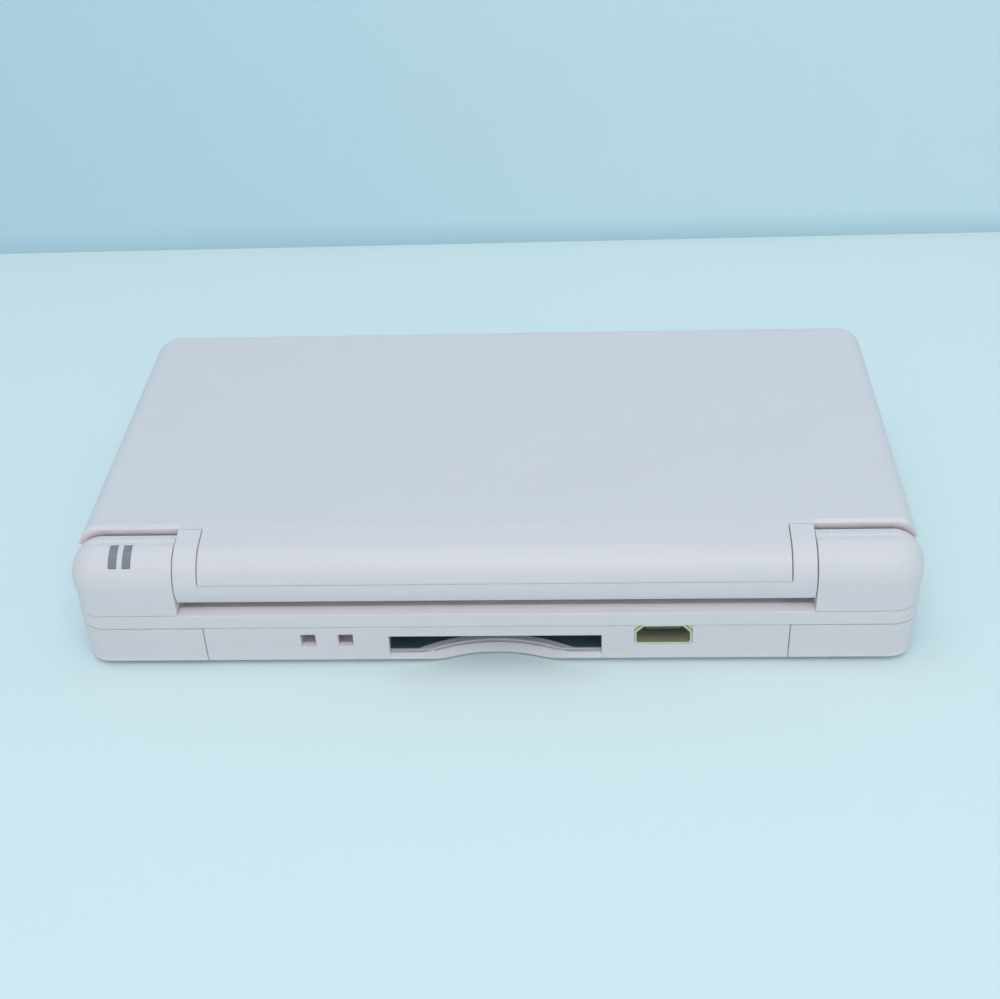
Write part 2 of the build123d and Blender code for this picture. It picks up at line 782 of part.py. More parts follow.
with BuildPart() as charge_port_tongue:
    tongue_z = (port_low + port_high) / 2 + tongue_rise
    port_back = rear + 0.12 - port_depth + port_metal
    block(
        (port_centre - tongue_half, port_back, tongue_z - tongue_thickness / 2),
        (port_centre + tongue_half, rear - tongue_setback, tongue_z + tongue_thickness / 2),
    )
    block(
        (port_centre - port_half + 1.2, port_back, port_low + 0.9),
        (port_centre + port_half - 1.2, port_back + 1.2, port_high - 0.7),
    )

# ---------------------------------------------------------------- Headphone jack and sliders
with BuildPart() as headphone_jack:
    block(
        (jack_x - jack_size[0] / 2, front + 0.4, jack_z - jack_size[2] / 2),
        (jack_x + jack_size[0] / 2, front + 0.4 + jack_size[1], jack_z + jack_size[2] / 2),
    )
    fillet(edges().filter_by(Axis.Y), 0.8)
    with Locations(Location((jack_x, front + 0.4, jack_z), (90, 0, 0))):
        Cylinder(
            jack_bore,
            jack_bore_depth,
            align=(Align.CENTER, Align.CENTER, Align.MAX),
            mode=Mode.SUBTRACT,
        )

with BuildPart() as volume_slider:
    block(
        (volume_x - volume_knob[0] / 2, front + 0.2, slider_z - volume_knob[1] / 2),
        (volume_x + volume_knob[0] / 2, front + wall + 0.6, slider_z + volume_knob[1] / 2),
    )
    block(
        (volume_x - volume_slot, front + wall + 0.4, slider_z - volume_knob[1] / 2 - 0.8),
        (volume_x + volume_slot, front + wall + 1.1, slider_z + volume_knob[1] / 2 + 0.8),
    )

    for index in range(-2, 3):
        block(
            (volume_x + index * ridge_pitch - ridge_width / 2, front, 0),
            (volume_x + index * ridge_pitch + ridge_width / 2, front + 0.2 + ridge_depth, parting_height),
            Mode.SUBTRACT,
        )

with BuildPart() as volume_pot:
    pot_half, pot_front = volume_slot + volume_body[0], front + wall + 1.3
    block(
        (volume_x - pot_half, pot_front, slider_z - 1.4),
        (volume_x + pot_half, pot_front + volume_body[1], board_under - flat_gap),
    )

with BuildPart() as power_slider:
    knob_out = wall_x(slider_z) + 0.2
    plate_out = wall_x(slider_z - 2.2) - wall - 0.12
    block(
        (plate_out - 0.5, power_y - power_knob[0] / 2, slider_z - power_knob[1] / 2),
        (knob_out, power_y + power_knob[0] / 2, slider_z + power_knob[1] / 2),
    )
    block(
        (plate_out - 0.9, power_y - power_slot - 0.8, slider_z - 1.8),
        (plate_out, power_y + power_slot - 1.2, slider_z + 1.8),
    )

    for index in range(-3, 4):
        block(
            (knob_out - ridge_depth, power_y + index * ridge_pitch - ridge_width / 2, 0),
            (half_width, power_y + index * ridge_pitch + ridge_width / 2, parting_height),
            Mode.SUBTRACT,
        )

with BuildPart() as power_switch:
    block(
        (plate_out - 1.1 - power_body[0], power_y - power_body[1] / 2, power_body[2]),
        (plate_out - 1.1, power_y + power_body[1] / 2, board_under - flat_gap),
    )

# ---------------------------------------------------------------- Stylus and holder
ring_start, ring_width, ring_depth = stylus_ring
with BuildPart() as stylus:
    with BuildSketch(Plane(origin=(0, stylus_y, stylus_z), x_dir=(1, 0, 0), z_dir=(0, -1, 0))):
        with BuildLine():
            Polyline(
                (stylus_in, 0),
                (stylus_in, 0.5),
                (stylus_in + 1.0, 0.85),
                (stylus_in + 7.0, stylus_radius - 0.4),
                (stylus_out - 12.0, stylus_radius - 0.4),
                (stylus_out - 11.6, stylus_radius),
                (stylus_out - ring_start - ring_width, stylus_radius),
                (stylus_out - ring_start - ring_width, stylus_radius - ring_depth),
                (stylus_out - ring_start, stylus_radius - ring_depth),
                (stylus_out - ring_start, stylus_radius),
                (stylus_out - 0.5, stylus_radius),
                (stylus_out, stylus_radius - 0.5),
                (stylus_out, 0),
                close=True,
            )
        make_face()
    revolve(axis=Axis((0, stylus_y, stylus_z), (1, 0, 0)))

with BuildPart() as stylus_holder:
    block(
        (stylus_in - 0.9, stylus_y - holder_width / 2, floor_top + flat_gap),
        (base_half - wall - 0.9, stylus_y + holder_width / 2, floor_top + flat_gap + holder_height),
    )
    along_x(stylus_in - 0.2, half_width, stylus_radius + stylus_gap, Mode.SUBTRACT, stylus_y, stylus_z)
    block(
        (stylus_in - 0.2, stylus_y - 1.6, stylus_z),
        (half_width, stylus_y + 1.6, board_under),
        Mode.SUBTRACT,
    )

# ---------------------------------------------------------------- Status lights in the right ear
with BuildPart() as light_pipes:
    for centre in pipe_centres:
        with BuildSketch(Plane.YZ.offset(centre - pipe_width / 2)):
            hinge_sector(ear_room - 0.4, hinge_radius - 0.02, *pipe_angles)
        extrude(amount=pipe_width)

# A small board on an upright leg, with one light under each pipe
with BuildPart() as led_board:
    block(
        (pipe_centres[1] - led_margin, hinge_y - led_board_half, led_level - board_thickness),
        (pipe_centres[0] + led_margin, hinge_y + led_board_half, led_level),
    )
    block(
        (pipe_centres[1] - led_size[0], hinge_y - 2 * led_leg, board_top + flat_gap),
        (pipe_centres[0] + led_size[0], hinge_y - led_leg, led_level - board_thickness / 2),
    )

with BuildPart() as status_leds:
    for centre in pipe_centres:
        block(
            (centre - led_size[0] / 2, hinge_y + led_forward, led_level + seat_gap),
            (centre + led_size[0] / 2, hinge_y + led_forward + led_size[1], led_level + led_size[2]),
        )

# ---------------------------------------------------------------- Direction pad
pad_top = face_height + pad_rise
pad_collar_top = face_under - 0.65
pad_low = pad_collar_top - pad_collar_thickness
with BuildPart() as dpad_pivot:
    with Locations((-control_x, control_y, board_top + 0.25)):
        Cone(
            pivot_radius,
            pivot_tip,
            pad_low - flat_gap - board_top - 0.25,
            align=(Align.CENTER, Align.CENTER, Align.MIN),
        )

with BuildPart() as pad_membrane:
    with BuildSketch(Plane.XY.offset(board_top + flat_gap)):
        with Locations((-control_x, control_y)):
            Circle(pad_collar_radius + 0.4)
            Circle(pivot_radius + 0.7, mode=Mode.SUBTRACT)
    extrude(amount=membrane_thickness)
    with Locations((-control_x, control_y, board_top + flat_gap)):
        with PolarLocations(7.0, 4):
            Cone(2.0, 1.2, 0.42, align=(Align.CENTER, Align.CENTER, Align.MIN))

with BuildPart() as dpad:
    with BuildSketch(Plane.XY.offset(pad_low)):
        with Locations((-control_x, control_y)):
            Rectangle(pad_span, pad_arm)
            Rectangle(pad_arm, pad_span)
    extrude(amount=pad_top - pad_low)
    fillet(edges().filter_by(Axis.Z), 0.5)
    chamfer(faces().sort_by(Axis.Z)[-1].edges(), 0.35)
    post(-control_x, control_y, pad_low, pad_collar_top, pad_collar_radius)
    with Locations((-control_x, control_y, pad_top + pad_dish_radius - pad_dish_depth)):
        Sphere(pad_dish_radius, mode=Mode.SUBTRACT)


# ---------------------------------------------------------------- Buttons
def push_button(x, y, radius, top, crown):
    """A round cap with a collar that keeps it under the face."""
    with BuildPart() as cap:
        collar_top = face_under - button_gap
        post(x, y, collar_top - collar_thickness, top, radius)
        chamfer(faces().sort_by(Axis.Z)[-1].edges(), crown)
        post(x, y, collar_top - collar_thickness, collar_top, radius + button_collar)
    return cap


button_top = face_height + button_rise
button_right = push_button(control_x + button_spacing, control_y, button_radius, button_top, button_bevel)
button_upper = push_button(control_x, control_y + button_spacing, button_radius, button_top, button_bevel)
button_left = push_button(control_x - button_spacing, control_y, button_radius, button_top, button_bevel)
button_lower = push_button(control_x, control_y - button_spacing, button_radius, button_top, button_bevel)
menu_top = face_height + menu_rise
start_button = push_button(menu_x, menu_rows[0], menu_radius, menu_top, menu_bevel)
select_button = push_button(menu_x, menu_rows[1], menu_radius, menu_top, menu_bevel)

dome_top = face_under - button_gap - collar_thickness - button_travel - flat_gap
with BuildPart() as button_membrane:
    post(control_x, control_y, board_top + flat_gap, board_top + flat_gap + membrane_thickness, 11.0)
    with Locations((control_x, control_y, board_top + flat_gap)):
        with PolarLocations(button_spacing, 4):
            Cone(
                dome_radius + 0.5,
                dome_radius - 0.6,
                dome_top - board_top - flat_gap,
                align=(Align.CENTER, Align.CENTER, Align.MIN),
            )

with BuildPart() as menu_membrane:
    block(
        (menu_x - 2.8, menu_rows[1] - 3.0, board_top + flat_gap),
        (menu_x + 2.8, menu_rows[0] + 3.0, board_top + flat_gap + membrane_thickness),
    )
    menu_dome_top = dome_top + button_travel - menu_travel
    for row in menu_rows:
        post(menu_x, row, board_top + flat_gap, menu_dome_top, 1.2)


# ---------------------------------------------------------------- Shoulder buttons
with BuildPart() as shoulder_button_right:
    drafted_wall(0, shoulder_low + 0.1)
    fillet(faces().sort_by(Axis.Z)[0].edges(), shoulder_foot_round)
    drafted_wall(shoulder_wall, shoulder_low - 1, Mode.SUBTRACT)
    corner_region(1, shoulder_seam + panel_gap, leg_end, 0, parting_height - panel_gap, Mode.INTERSECT)
    # Arm to the pivot, with its bore, and the rib that meets the switch
    arm_y = (pivot_y - 1.0, rear - wall - 0.25)
    block((pivot_x, arm_y[0], boss_low), (shoulder_seam + 2.0, arm_y[1], boss_high))
    block((shoulder_seam + panel_gap, arm_y[0], boss_low), (shoulder_seam + 2.0, rear - 0.5, boss_high))
    post(pivot_x, pivot_y, boss_low, boss_high, boss_radius)
    post(pivot_x, pivot_y, boss_low - 1, boss_high + 1, pin_radius + shaft_gap, Mode.SUBTRACT)
    block((switch_x - 0.6, rear - 4.0, boss_low), (switch_x + 0.6, rear - shoulder_wall + 0.2, boss_high))

with BuildPart() as shoulder_button_left:
    mirror(shoulder_button_right.part, about=Plane.YZ)

with BuildPart() as shoulder_pins:
    for side in mirror_signs:
        post(side * pivot_x, pivot_y, foot_height + 0.45, board_under - 0.1, pin_radius)

with BuildPart() as shoulder_springs:
    for side in mirror_signs:
        for turn in range(spring_turns):
            height = floor_top + 0.55 + turn * 1.9 * spring_wire
            with BuildSketch(Plane.XZ.offset(-pivot_y)):
                with Locations((side * pivot_x + pin_radius + 0.1 + spring_wire, height)):
                    Rectangle(2 * spring_wire, 2 * spring_wire)
            revolve(axis=Axis((side * pivot_x, pivot_y, 0), (0, 0, 1)))

with BuildPart() as shoulder_switches:
    for side in mirror_signs:
        x = side * switch_x
        block(
            (x - switch_half, rear - switch_back - switch_depth, switch_low),
            (x + switch_half, rear - switch_back, board_under - flat_gap),
        )
        block((x - 0.7, rear - switch_back - 0.2, 4.2), (x + 0.7, rear - switch_back + plunger_reach, 5.6))

# ---------------------------------------------------------------- Hinge hardware
with BuildPart() as hinge_shaft:
    along_x(barrel_half - 6.0, ear_inner + 0.2, shaft_radius)
    block(
        (ear_inner + 0.1, hinge_y - shaft_key / 2, hinge_height - shaft_key / 2),
        (ear_inner + socket_length, hinge_y + shaft_key / 2, hinge_height + shaft_key / 2),
    )

with BuildPart() as hinge_cartridge:
    along_x(barrel_half - 15.0, barrel_half - 0.05, barrel_bore - flat_gap)
    along_x(barrel_half - 6.5, barrel_half + 1, shaft_radius + shaft_gap, Mode.SUBTRACT)
    along_x(barrel_half - 14.0, barrel_half - 6.4, barrel_bore - 0.5, Mode.SUBTRACT)

with BuildPart() as hinge_spring:
    for index in range(spring_washers):
        x = barrel_half - 13.6 + index * washer_pitch
        with BuildSketch(Plane.XZ.offset(-hinge_y)):
            with BuildLine():
                Polyline(
                    (x, hinge_height + 0.5),
                    (x + 0.4, hinge_height + barrel_bore - 0.55),
                    (x + 0.8, hinge_height + barrel_bore - 0.55),
                    (x + 0.4, hinge_height + 0.5),
                    close=True,
                )
            make_face()
        revolve(axis=hinge_axis)

with BuildPart() as hinge_bush:
    along_x(-ear_inner - 0.1, -barrel_half + 5.0, barrel_bore - shaft_gap)
    along_x(-ear_inner - socket_length, -ear_inner - 0.02, bush_seat - flat_gap)
    along_x(-half_width, half_width, shaft_radius, Mode.SUBTRACT)

# ---------------------------------------------------------------- Lid
crest_rise = closed_height - hinge_height
stop_radius = hinge_radius + stop_gap
# When the lid is fully open the base's rear wall lies along this direction of the lid, in degrees
wall_angle = opening_angle - 90
wall_plane = Plane(
    origin=(0, hinge_y, hinge_height),
    x_dir=(1, 0, 0),
    z_dir=(0, cos(radians(wall_angle)), sin(radians(wall_angle))),
)
# Where the face that meets that wall reaches the lid's top, less the bevel of its edge
face_foot = hinge_point(stop_radius, opening_angle)
bevel_height = closed_height - crest_bevel
bevel_y = face_foot[0] + (bevel_height - face_foot[1]) / tan(radians(wall_angle))
# The lid's top falls from here in a straight line that meets the barrel's crown
crest_y = hinge_y - crest_run
crest_angle = degrees(atan2(crest_rise, -crest_run))
crest_distance = sqrt(crest_run**2 + crest_rise**2)


def cut_ear_rooms():
    """Clears the room of the two ears, and of the base's rear wall as it stands when the lid is open."""
    for side in mirror_signs:
        revolve(ear_section(side, barrel_half, turning_gap), axis=hinge_axis, mode=Mode.SUBTRACT)
        low, high = sorted((side * barrel_half, side * (half_width + stop_gap)))
        with BuildSketch(wall_plane) as open_wall:
            with Locations(((low + high) / 2, 0)):
                Rectangle(high - low, 2 * stop_radius)
            outer = vertices().group_by(Axis.Y)[0].sort_by(Axis.X)[-1 if side > 0 else 0]
            fillet(outer, corner_radius + stop_gap)
        extrude(open_wall.sketch, amount=2 * hinge_height, mode=Mode.SUBTRACT)
        with BuildSketch(Plane.YZ.offset(low)) as bevel:
            with BuildLine():
                Polyline(
                    (bevel_y, bevel_height),
                    (bevel_y - crest_bevel, closed_height),
                    (bevel_y - crest_bevel, closed_height + 1),
                    (rear, closed_height + 1),
                    (rear, bevel_height),
                    close=True,
                )
            make_face()
        extrude(bevel.sketch, amount=high - low, mode=Mode.SUBTRACT)


def lid_form():
    """The closed lid's outer form: a rounded plate that runs into the barrel behind."""
    with BuildSketch(Plane.XY.offset(lid_under)) as plan:
        with Locations((0, (front + crest_y + 1.5) / 2)):
            Rectangle(2 * lid_half, crest_y + 1.5 - front)
        fillet(vertices().group_by(Axis.Y)[0], corner_radius)
    extrude(plan.sketch, amount=closed_height - lid_under)
    fillet(faces().sort_by(Axis.Z)[-1].edges().sort_by(Axis.Y)[:-1], lid_edge_round)
    fillet(faces().sort_by(Axis.Z)[0].edges().sort_by(Axis.Y)[:-1], lid_rim_round)
    tangent = hinge_point(hinge_radius, crest_angle - degrees(acos(hinge_radius / crest_distance)))
    barrel_foot = hinge_point(hinge_radius, degrees(asin((lid_under - hinge_height) / hinge_radius)))
    with BuildSketch(Plane.YZ.offset(-barrel_half)) as barrel:
        with BuildLine():
            Polyline(
                barrel_foot,
                (crest_y - 6, lid_under),
                (crest_y - 6, closed_height),
                (crest_y, closed_height),
                tangent,
            )
            ThreePointArc(tangent, (rear, hinge_height), barrel_foot)
        make_face()
        fillet(vertices().sort_by(Axis.X)[-1], barrel_lip_round)
    extrude(barrel.sketch, amount=2 * barrel_half)
    with BuildSketch(Plane.YZ.offset(-half_width)) as fall:
        with BuildLine():
            Polyline(
                (crest_y, closed_height),
                tangent,
                (tangent[0], closed_height + 1),
                (crest_y, closed_height + 1),
                close=True,
            )
        make_face()
    extrude(fall.sketch, amount=console_width, mode=Mode.SUBTRACT)
    cut_ear_rooms()


core_radius = hinge_radius - panel_thickness - flat_gap
flange_y = crest_y + 0.6
cavity_rear = hinge_y - trough_radius - lid_wall
lid_floor = lid_under + lid_wall
lid_ceiling = closed_height - lid_wall
lid_screw_places = [(sx * (lid_half - 4.5), y) for sx in mirror_signs for y in (front + 5.5, hinge_y - 10.0)]
lid_post = 2.2
bumper_radius = 1.85
bumper_pocket = 0.45

with BuildPart() as lid_outer_shell:
    lid_form()
    block((-half_width, front - 1, 0), (half_width, rear + 1, lid_parting_height), Mode.SUBTRACT)
    room_x, room_front = lid_half - lid_wall, front + lid_wall
    inner_x, inner_rear = barrel_half - lid_wall, crest_y - 0.8
    block((-room_x, room_front, 0), (room_x, cavity_rear, lid_ceiling), Mode.SUBTRACT)
    block((-inner_x, 0, 0), (inner_x, inner_rear, lid_ceiling), Mode.SUBTRACT)
    # The panel over the barrel is inset between the two flanges
    along_x(-console_width, console_width, core_radius + flat_gap, Mode.SUBTRACT)
    for side in mirror_signs:
        low, high = sorted((side * panel_half, side * (barrel_half + 1)))
        block((low, flange_y, 0), (high, rear + 1, closed_height + 1), Mode.SUBTRACT)
    for x, y in lid_screw_places:
        post(x, y, lid_floor + 1.5, lid_ceiling + 0.1, lid_post)
        post(x, y, lid_floor, lid_ceiling - 0.3, screw_radius - 0.1, Mode.SUBTRACT)

mic_floor = hinge_height - barrel_bore + 0.15
with BuildPart() as lid_inner_shell:
    lid_form()
    inner_top = lid_parting_height - seam_gap
    block(
        (-half_width, front - 1, inner_top),
        (half_width, flange_y + panel_gap, closed_height + 1),
        Mode.SUBTRACT,
    )
    for side in mirror_signs:
        low, high = sorted((side * (barrel_half + 1), side * half_width))
        block((low, front - 1, inner_top), (high, rear + 1, closed_height + 1), Mode.SUBTRACT)
    block(
        (-panel_half - flange_gap, flange_y, inner_top),
        (panel_half + flange_gap, rear + 1, closed_height + 1),
        Mode.SUBTRACT,
    )
    block((-room_x, room_front, lid_floor), (room_x, cavity_rear, closed_height), Mode.SUBTRACT)
    block((-inner_x, 0, lid_floor), (inner_x, inner_rear, inner_top + 1), Mode.SUBTRACT)
    # Core of the barrel, bored right through, with room for the microphone and the cable
    along_x(-panel_half - flange_gap, panel_half + flange_gap, core_radius)
    along_x(-console_width, console_width, barrel_bore, Mode.SUBTRACT)
    with BuildSketch(Plane.YZ.offset(-barrel_half + 8.0)):
        with Locations((hinge_y, hinge_height)):
            Circle(core_radius - 1.1)
        with Locations((hinge_y, mic_floor + hinge_radius)):
            Rectangle(4 * hinge_radius, 2 * hinge_radius, mode=Mode.INTERSECT)
    extrude(amount=2 * barrel_half - 25.0, mode=Mode.SUBTRACT)
    block(
        (-cable_x - cable_width / 2 - 0.5, crest_y - 2, hinge_height - 0.5),
        (-cable_x + cable_width / 2 + 0.5, hinge_y - 1, hinge_height + 0.5),
        Mode.SUBTRACT,
    )
    # Window pocket, sound holes and the microphone's hole
    window_plan = [length + 2 * window_margin for length in window_opening]
    with BuildSketch(Plane.XY.offset(lid_under)):
        with Locations((0, upper_screen_y)):
            RectangleRounded(*window_plan, window_round)
    extrude(amount=window_thickness, mode=Mode.SUBTRACT)
    with BuildSketch(Plane.XY.offset(lid_under)):
        with Locations((0, upper_screen_y)):
            RectangleRounded(window_opening[0], window_opening[1], 1.0)
        with Locations((speaker_x, upper_screen_y), (-speaker_x, upper_screen_y)):
            with GridLocations(sound_hole_pitch, sound_hole_pitch, *sound_hole_grid):
                Circle(sound_hole_radius)
        with Locations((0, hinge_y)):
            Circle(0.5)
    extrude(amount=mic_floor - lid_under + 0.1, mode=Mode.SUBTRACT)
    # Screw posts, closed from below by the bumpers
    for x, y in lid_screw_places:
        post(x, y, lid_floor - 0.1, lid_floor + 1.4, lid_post)
        post(x, y, lid_under, lid_under + bumper_pocket, bumper_radius + flat_gap, Mode.SUBTRACT)
        post(x, y, lid_under, lid_floor + 0.4, screw_head + 0.05, Mode.SUBTRACT)
        post(x, y, lid_under, lid_floor + 2, screw_radius + 0.1, Mode.SUBTRACT)

with BuildPart() as lid_bumpers:
    for x, y in lid_screw_places:
        post(x, y, face_height + flat_gap, lid_under + bumper_pocket - flat_gap, bumper_radius)
    chamfer(edges().group_by(Axis.Z)[0], foot_bevel)

with BuildPart() as lid_screws:
    for x, y in lid_screw_places:
        post(x, y, lid_floor - 0.6, lid_floor + 0.35, screw_head - 0.05)
        post(x, y, lid_floor, lid_ceiling - 0.5, screw_radius - 0.15)

with BuildPart() as upper_window:
    with BuildSketch(Plane.XY.offset(lid_under + flat_gap)):
        with Locations((0, upper_screen_y)):
            RectangleRounded(*(length - 2 * flat_gap for length in window_plan), window_round - flat_gap)
    extrude(amount=window_thickness - 2 * flat_gap)

with BuildPart() as upper_display:
    block(
        (-display_size[0] / 2, upper_screen_y - display_size[1] / 2, lid_floor + flat_gap),
        (display_size[0] / 2, upper_screen_y + display_size[1] / 2, lid_floor + upper_display_thickness),
    )

with BuildPart() as upper_display_frame:
    with BuildSketch(Plane.XY.offset(lid_floor + flat_gap)):
        with Locations((0, upper_screen_y)):
            Rectangle(display_size[0] + 2 * frame_wall, display_size[1] + 2 * frame_wall)
            Rectangle(display_size[0] + 2 * flat_gap, display_size[1] + 2 * flat_gap, mode=Mode.SUBTRACT)
    extrude(amount=upper_display_thickness + 0.4)


def speaker(x):
    """An oval speaker with its round magnet, over the sound holes."""
    with BuildPart() as unit:
        with BuildSketch(Plane.XY.offset(lid_floor + flat_gap)):
            with Locations((x, upper_screen_y)):
                RectangleRounded(*speaker_size)
        extrude(amount=speaker_thickness)
        post(x, upper_screen_y, lid_floor + 1, lid_floor + flat_gap + magnet_height, magnet_radius)
        chamfer(faces().sort_by(Axis.Z)[-1].edges(), magnet_bevel)
    return unit


speaker_right = speaker(speaker_x)
speaker_left = speaker(-speaker_x)

with BuildPart() as microphone:
    post(0, hinge_y, mic_floor + flat_gap, mic_floor + 1.5, 1.5)

with BuildPart() as display_cable:
    along_x(-ear_inner - socket_length + 0.2, -cable_x, cable_radius)
    block(
        (-cable_x - cable_width / 2, cavity_rear - 5.0, hinge_height - 0.15),
        (-cable_x + cable_width / 2, hinge_y, hinge_height + 0.15),
    )

pieces = {
    "base_bottom_shell": base_bottom_shell,
    "base_top_shell": base_top_shell,
    "battery_cover": battery_cover,
    "battery_cover_screw": battery_cover_screw,
    "battery": battery,
    "case_screws": case_screws,
    "rubber_feet": feet,
    "main_board": main_board,
    "wireless_module": wireless_module,
    "lower_display": lower_display,
    "lower_display_frame": lower_display_frame,
    "touch_panel": touch_panel,
    "card_tray": card_tray,
    "card_cage": card_cage,
    "card_contacts": card_contacts,
    "cartridge_connector": cartridge_connector,
    "cartridge_slot_cover": cartridge_cover,
    "charge_port_shell": charge_port_shell,
    "charge_port_tongue": charge_port_tongue,
    "headphone_jack": headphone_jack,
    "volume_slider": volume_slider,
    "volume_potentiometer": volume_pot,
    "power_slider": power_slider,
    "power_switch": power_switch,
    "stylus": stylus,
    "stylus_holder": stylus_holder,
    "light_pipes": light_pipes,
    "led_board": led_board,
    "status_leds": status_leds,
    "direction_pad": dpad,
    "direction_pad_pivot": dpad_pivot,
    "pad_membrane": pad_membrane,
    "button_right": button_right,
    "button_upper": button_upper,
    "button_left": button_left,
    "button_lower": button_lower,
    "button_membrane": button_membrane,
    "start_button": start_button,
    "select_button": select_button,
    "menu_membrane": menu_membrane,
    "shoulder_button_right": shoulder_button_right,
    "shoulder_button_left": shoulder_button_left,
    "shoulder_pins": shoulder_pins,
    "shoulder_springs": shoulder_springs,
    "shoulder_switches": shoulder_switches,
    "hinge_shaft": hinge_shaft,
    "hinge_cartridge": hinge_cartridge,
    "hinge_spring": hinge_spring,
    "hinge_bush": hinge_bush,
    "lid_outer_shell": lid_outer_shell,
    "lid_inner_shell": lid_inner_shell,
    "lid_bumpers": lid_bumpers,
    "lid_screws": lid_screws,
    "upper_window": upper_window,
    "upper_display": upper_display,
    "upper_display_frame": upper_display_frame,
    "speaker_right": speaker_right,
    "speaker_left": speaker_left,
    "microphone": microphone,
    "display_cable": display_cable,
}

os.makedirs("parts", exist_ok=True)
for name, piece in pieces.items():
    piece.part.label = name
    export_step(piece.part, f"parts/{name}.step")
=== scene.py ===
import json
import math
import bmesh
import bpy
from mathutils import Matrix, Vector


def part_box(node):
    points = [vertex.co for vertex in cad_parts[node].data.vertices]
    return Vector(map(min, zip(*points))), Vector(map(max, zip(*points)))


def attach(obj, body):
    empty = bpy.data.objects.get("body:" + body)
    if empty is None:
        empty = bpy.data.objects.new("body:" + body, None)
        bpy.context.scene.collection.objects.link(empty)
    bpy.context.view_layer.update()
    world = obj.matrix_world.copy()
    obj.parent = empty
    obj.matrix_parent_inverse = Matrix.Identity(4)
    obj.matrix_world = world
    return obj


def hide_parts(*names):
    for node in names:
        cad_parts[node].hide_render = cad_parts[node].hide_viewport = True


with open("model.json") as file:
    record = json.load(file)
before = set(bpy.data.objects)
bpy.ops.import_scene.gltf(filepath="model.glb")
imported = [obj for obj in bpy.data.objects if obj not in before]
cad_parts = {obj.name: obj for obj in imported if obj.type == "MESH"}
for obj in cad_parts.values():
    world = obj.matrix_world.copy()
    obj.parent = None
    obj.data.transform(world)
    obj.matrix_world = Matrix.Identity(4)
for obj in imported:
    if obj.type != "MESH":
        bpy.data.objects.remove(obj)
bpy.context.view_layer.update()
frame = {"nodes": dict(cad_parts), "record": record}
mm = 0.001
nodes = frame["nodes"]
print("frame loaded,", len(nodes), "nodes")


def linear(hexColour):
    # one sRGB hex value, as Blender's linear numbers
    parts = [int(hexColour[i:i + 2], 16) / 255 for i in (1, 3, 5)]
    return [c / 12.92 if c <= 0.04045 else ((c + 0.055) / 1.055) ** 2.4 for c in parts] + [1.0]


def toned(hexColour, gain):
    # the same colour, made this much lighter or darker
    return [min(1, c * gain) for c in linear(hexColour)[:3]] + [1.0]


def addNode(material, kind, settings=None, **inputs):
    # adds one node; an input is a plain value or another node's output, and in4 means the fifth socket
    tree = material.node_tree
    node = tree.nodes.new(kind)
    for name, value in (settings or {}).items():
        setattr(node, name, value)
    for name, value in inputs.items():
        socket = node.inputs[int(name[2:])] if name[2:].isdigit() else node.inputs[name.replace("_", " ")]
        if isinstance(value, bpy.types.NodeSocket):
            tree.links.new(value, socket)
        else:
            socket.default_value = value
    return node


def startMaterial(name, colour, roughness, ior=1.5, metallic=0.0):
    # a material with its shader; the numbers that are the same all over sit on the shader itself
    material = bpy.data.materials.new(name)
    material.use_nodes = True
    shader = material.node_tree.nodes["Principled BSDF"]
    shader.inputs["Base Color"].default_value = linear(colour)
    shader.inputs["Roughness"].default_value = roughness
    shader.inputs["Metallic"].default_value = metallic
    if not metallic:
        shader.inputs["IOR"].default_value = ior
    return material, shader


def feed(material, shader, **inputs):
    # links what varies over the surface into the shader
    for name, output in inputs.items():
        material.node_tree.links.new(output, shader.inputs[name.replace("_", " ")])


def perMetre(sizeMm):
    # how often a pattern of this size in millimetres repeats in a metre
    return 1000.0 / sizeMm


def wavesPerMetre(pitchMm):
    # the scale of a Wave texture, whose bands run through 20 radians in one unit
    return perMetre(pitchMm) * math.tau / 20


# the photograph is taken from behind and above, a little to the player's left
photoCamera = {
    "place": (-13.39 * mm, 239.43 * mm, 168.13 * mm),
    "yaw": 3.288,  # degrees, as pitch and roll are
    "pitch": 33.872,
    "roll": -2.431,
    "lens": 59.25,  # millimetres on a sensor of this width
    "sensor": 36,
    "nearest": 10 * mm,
}


def placeCamera(spec):
    yaw, pitch, roll = (math.radians(spec[angle]) for angle in ("yaw", "pitch", "roll"))
    forward = Vector((math.sin(yaw) * math.cos(pitch), -math.cos(yaw) * math.cos(pitch), -math.sin(pitch)))
    right = forward.cross(Vector((0, 0, 1))).normalized()
    up = right.cross(forward)
    turnedRight = math.cos(roll) * right + math.sin(roll) * up
    turnedUp = math.cos(roll) * up - math.sin(roll) * right
    data = bpy.data.cameras.new("photoCamera")
    data.lens = spec["lens"]
    data.sensor_width = spec["sensor"]
    data.clip_start = spec["nearest"]
    camera = bpy.data.objects.new("photoCamera", data)
    bpy.context.scene.collection.objects.link(camera)
    axes = Matrix((turnedRight, turnedUp, -forward)).transposed().to_4x4()
    camera.matrix_world = Matrix.Translation(spec["place"]) @ axes
    bpy.context.scene.camera = camera


placeCamera(photoCamera)
print("camera placed")

# a table and a wall of pale paper
sweep = {
    "floorColour": "#dcedf0",
    "floorSize": 6.0,  # metres, as wallSize is
    "wallColour": "#d2e9f3",
    # painted shade: the wall's colour towards one side, where less light falls
    "wallShadeColour": "#bfddec",
    "wallFade": (-20 * mm, 130 * mm),  # between these x the painted shade darkens the wall to its shaded colour
    "wallSize": 3.0,
    "wallPlace": -120.4 * mm,
    "wallTurn": 0.55,  # degrees
    # painted shade: the wall's colour in the crease at its foot
    "creaseShadeColour": "#b6d4e0",
    "creaseHeight": 6 * mm,
    "roughness": 0.9,
}


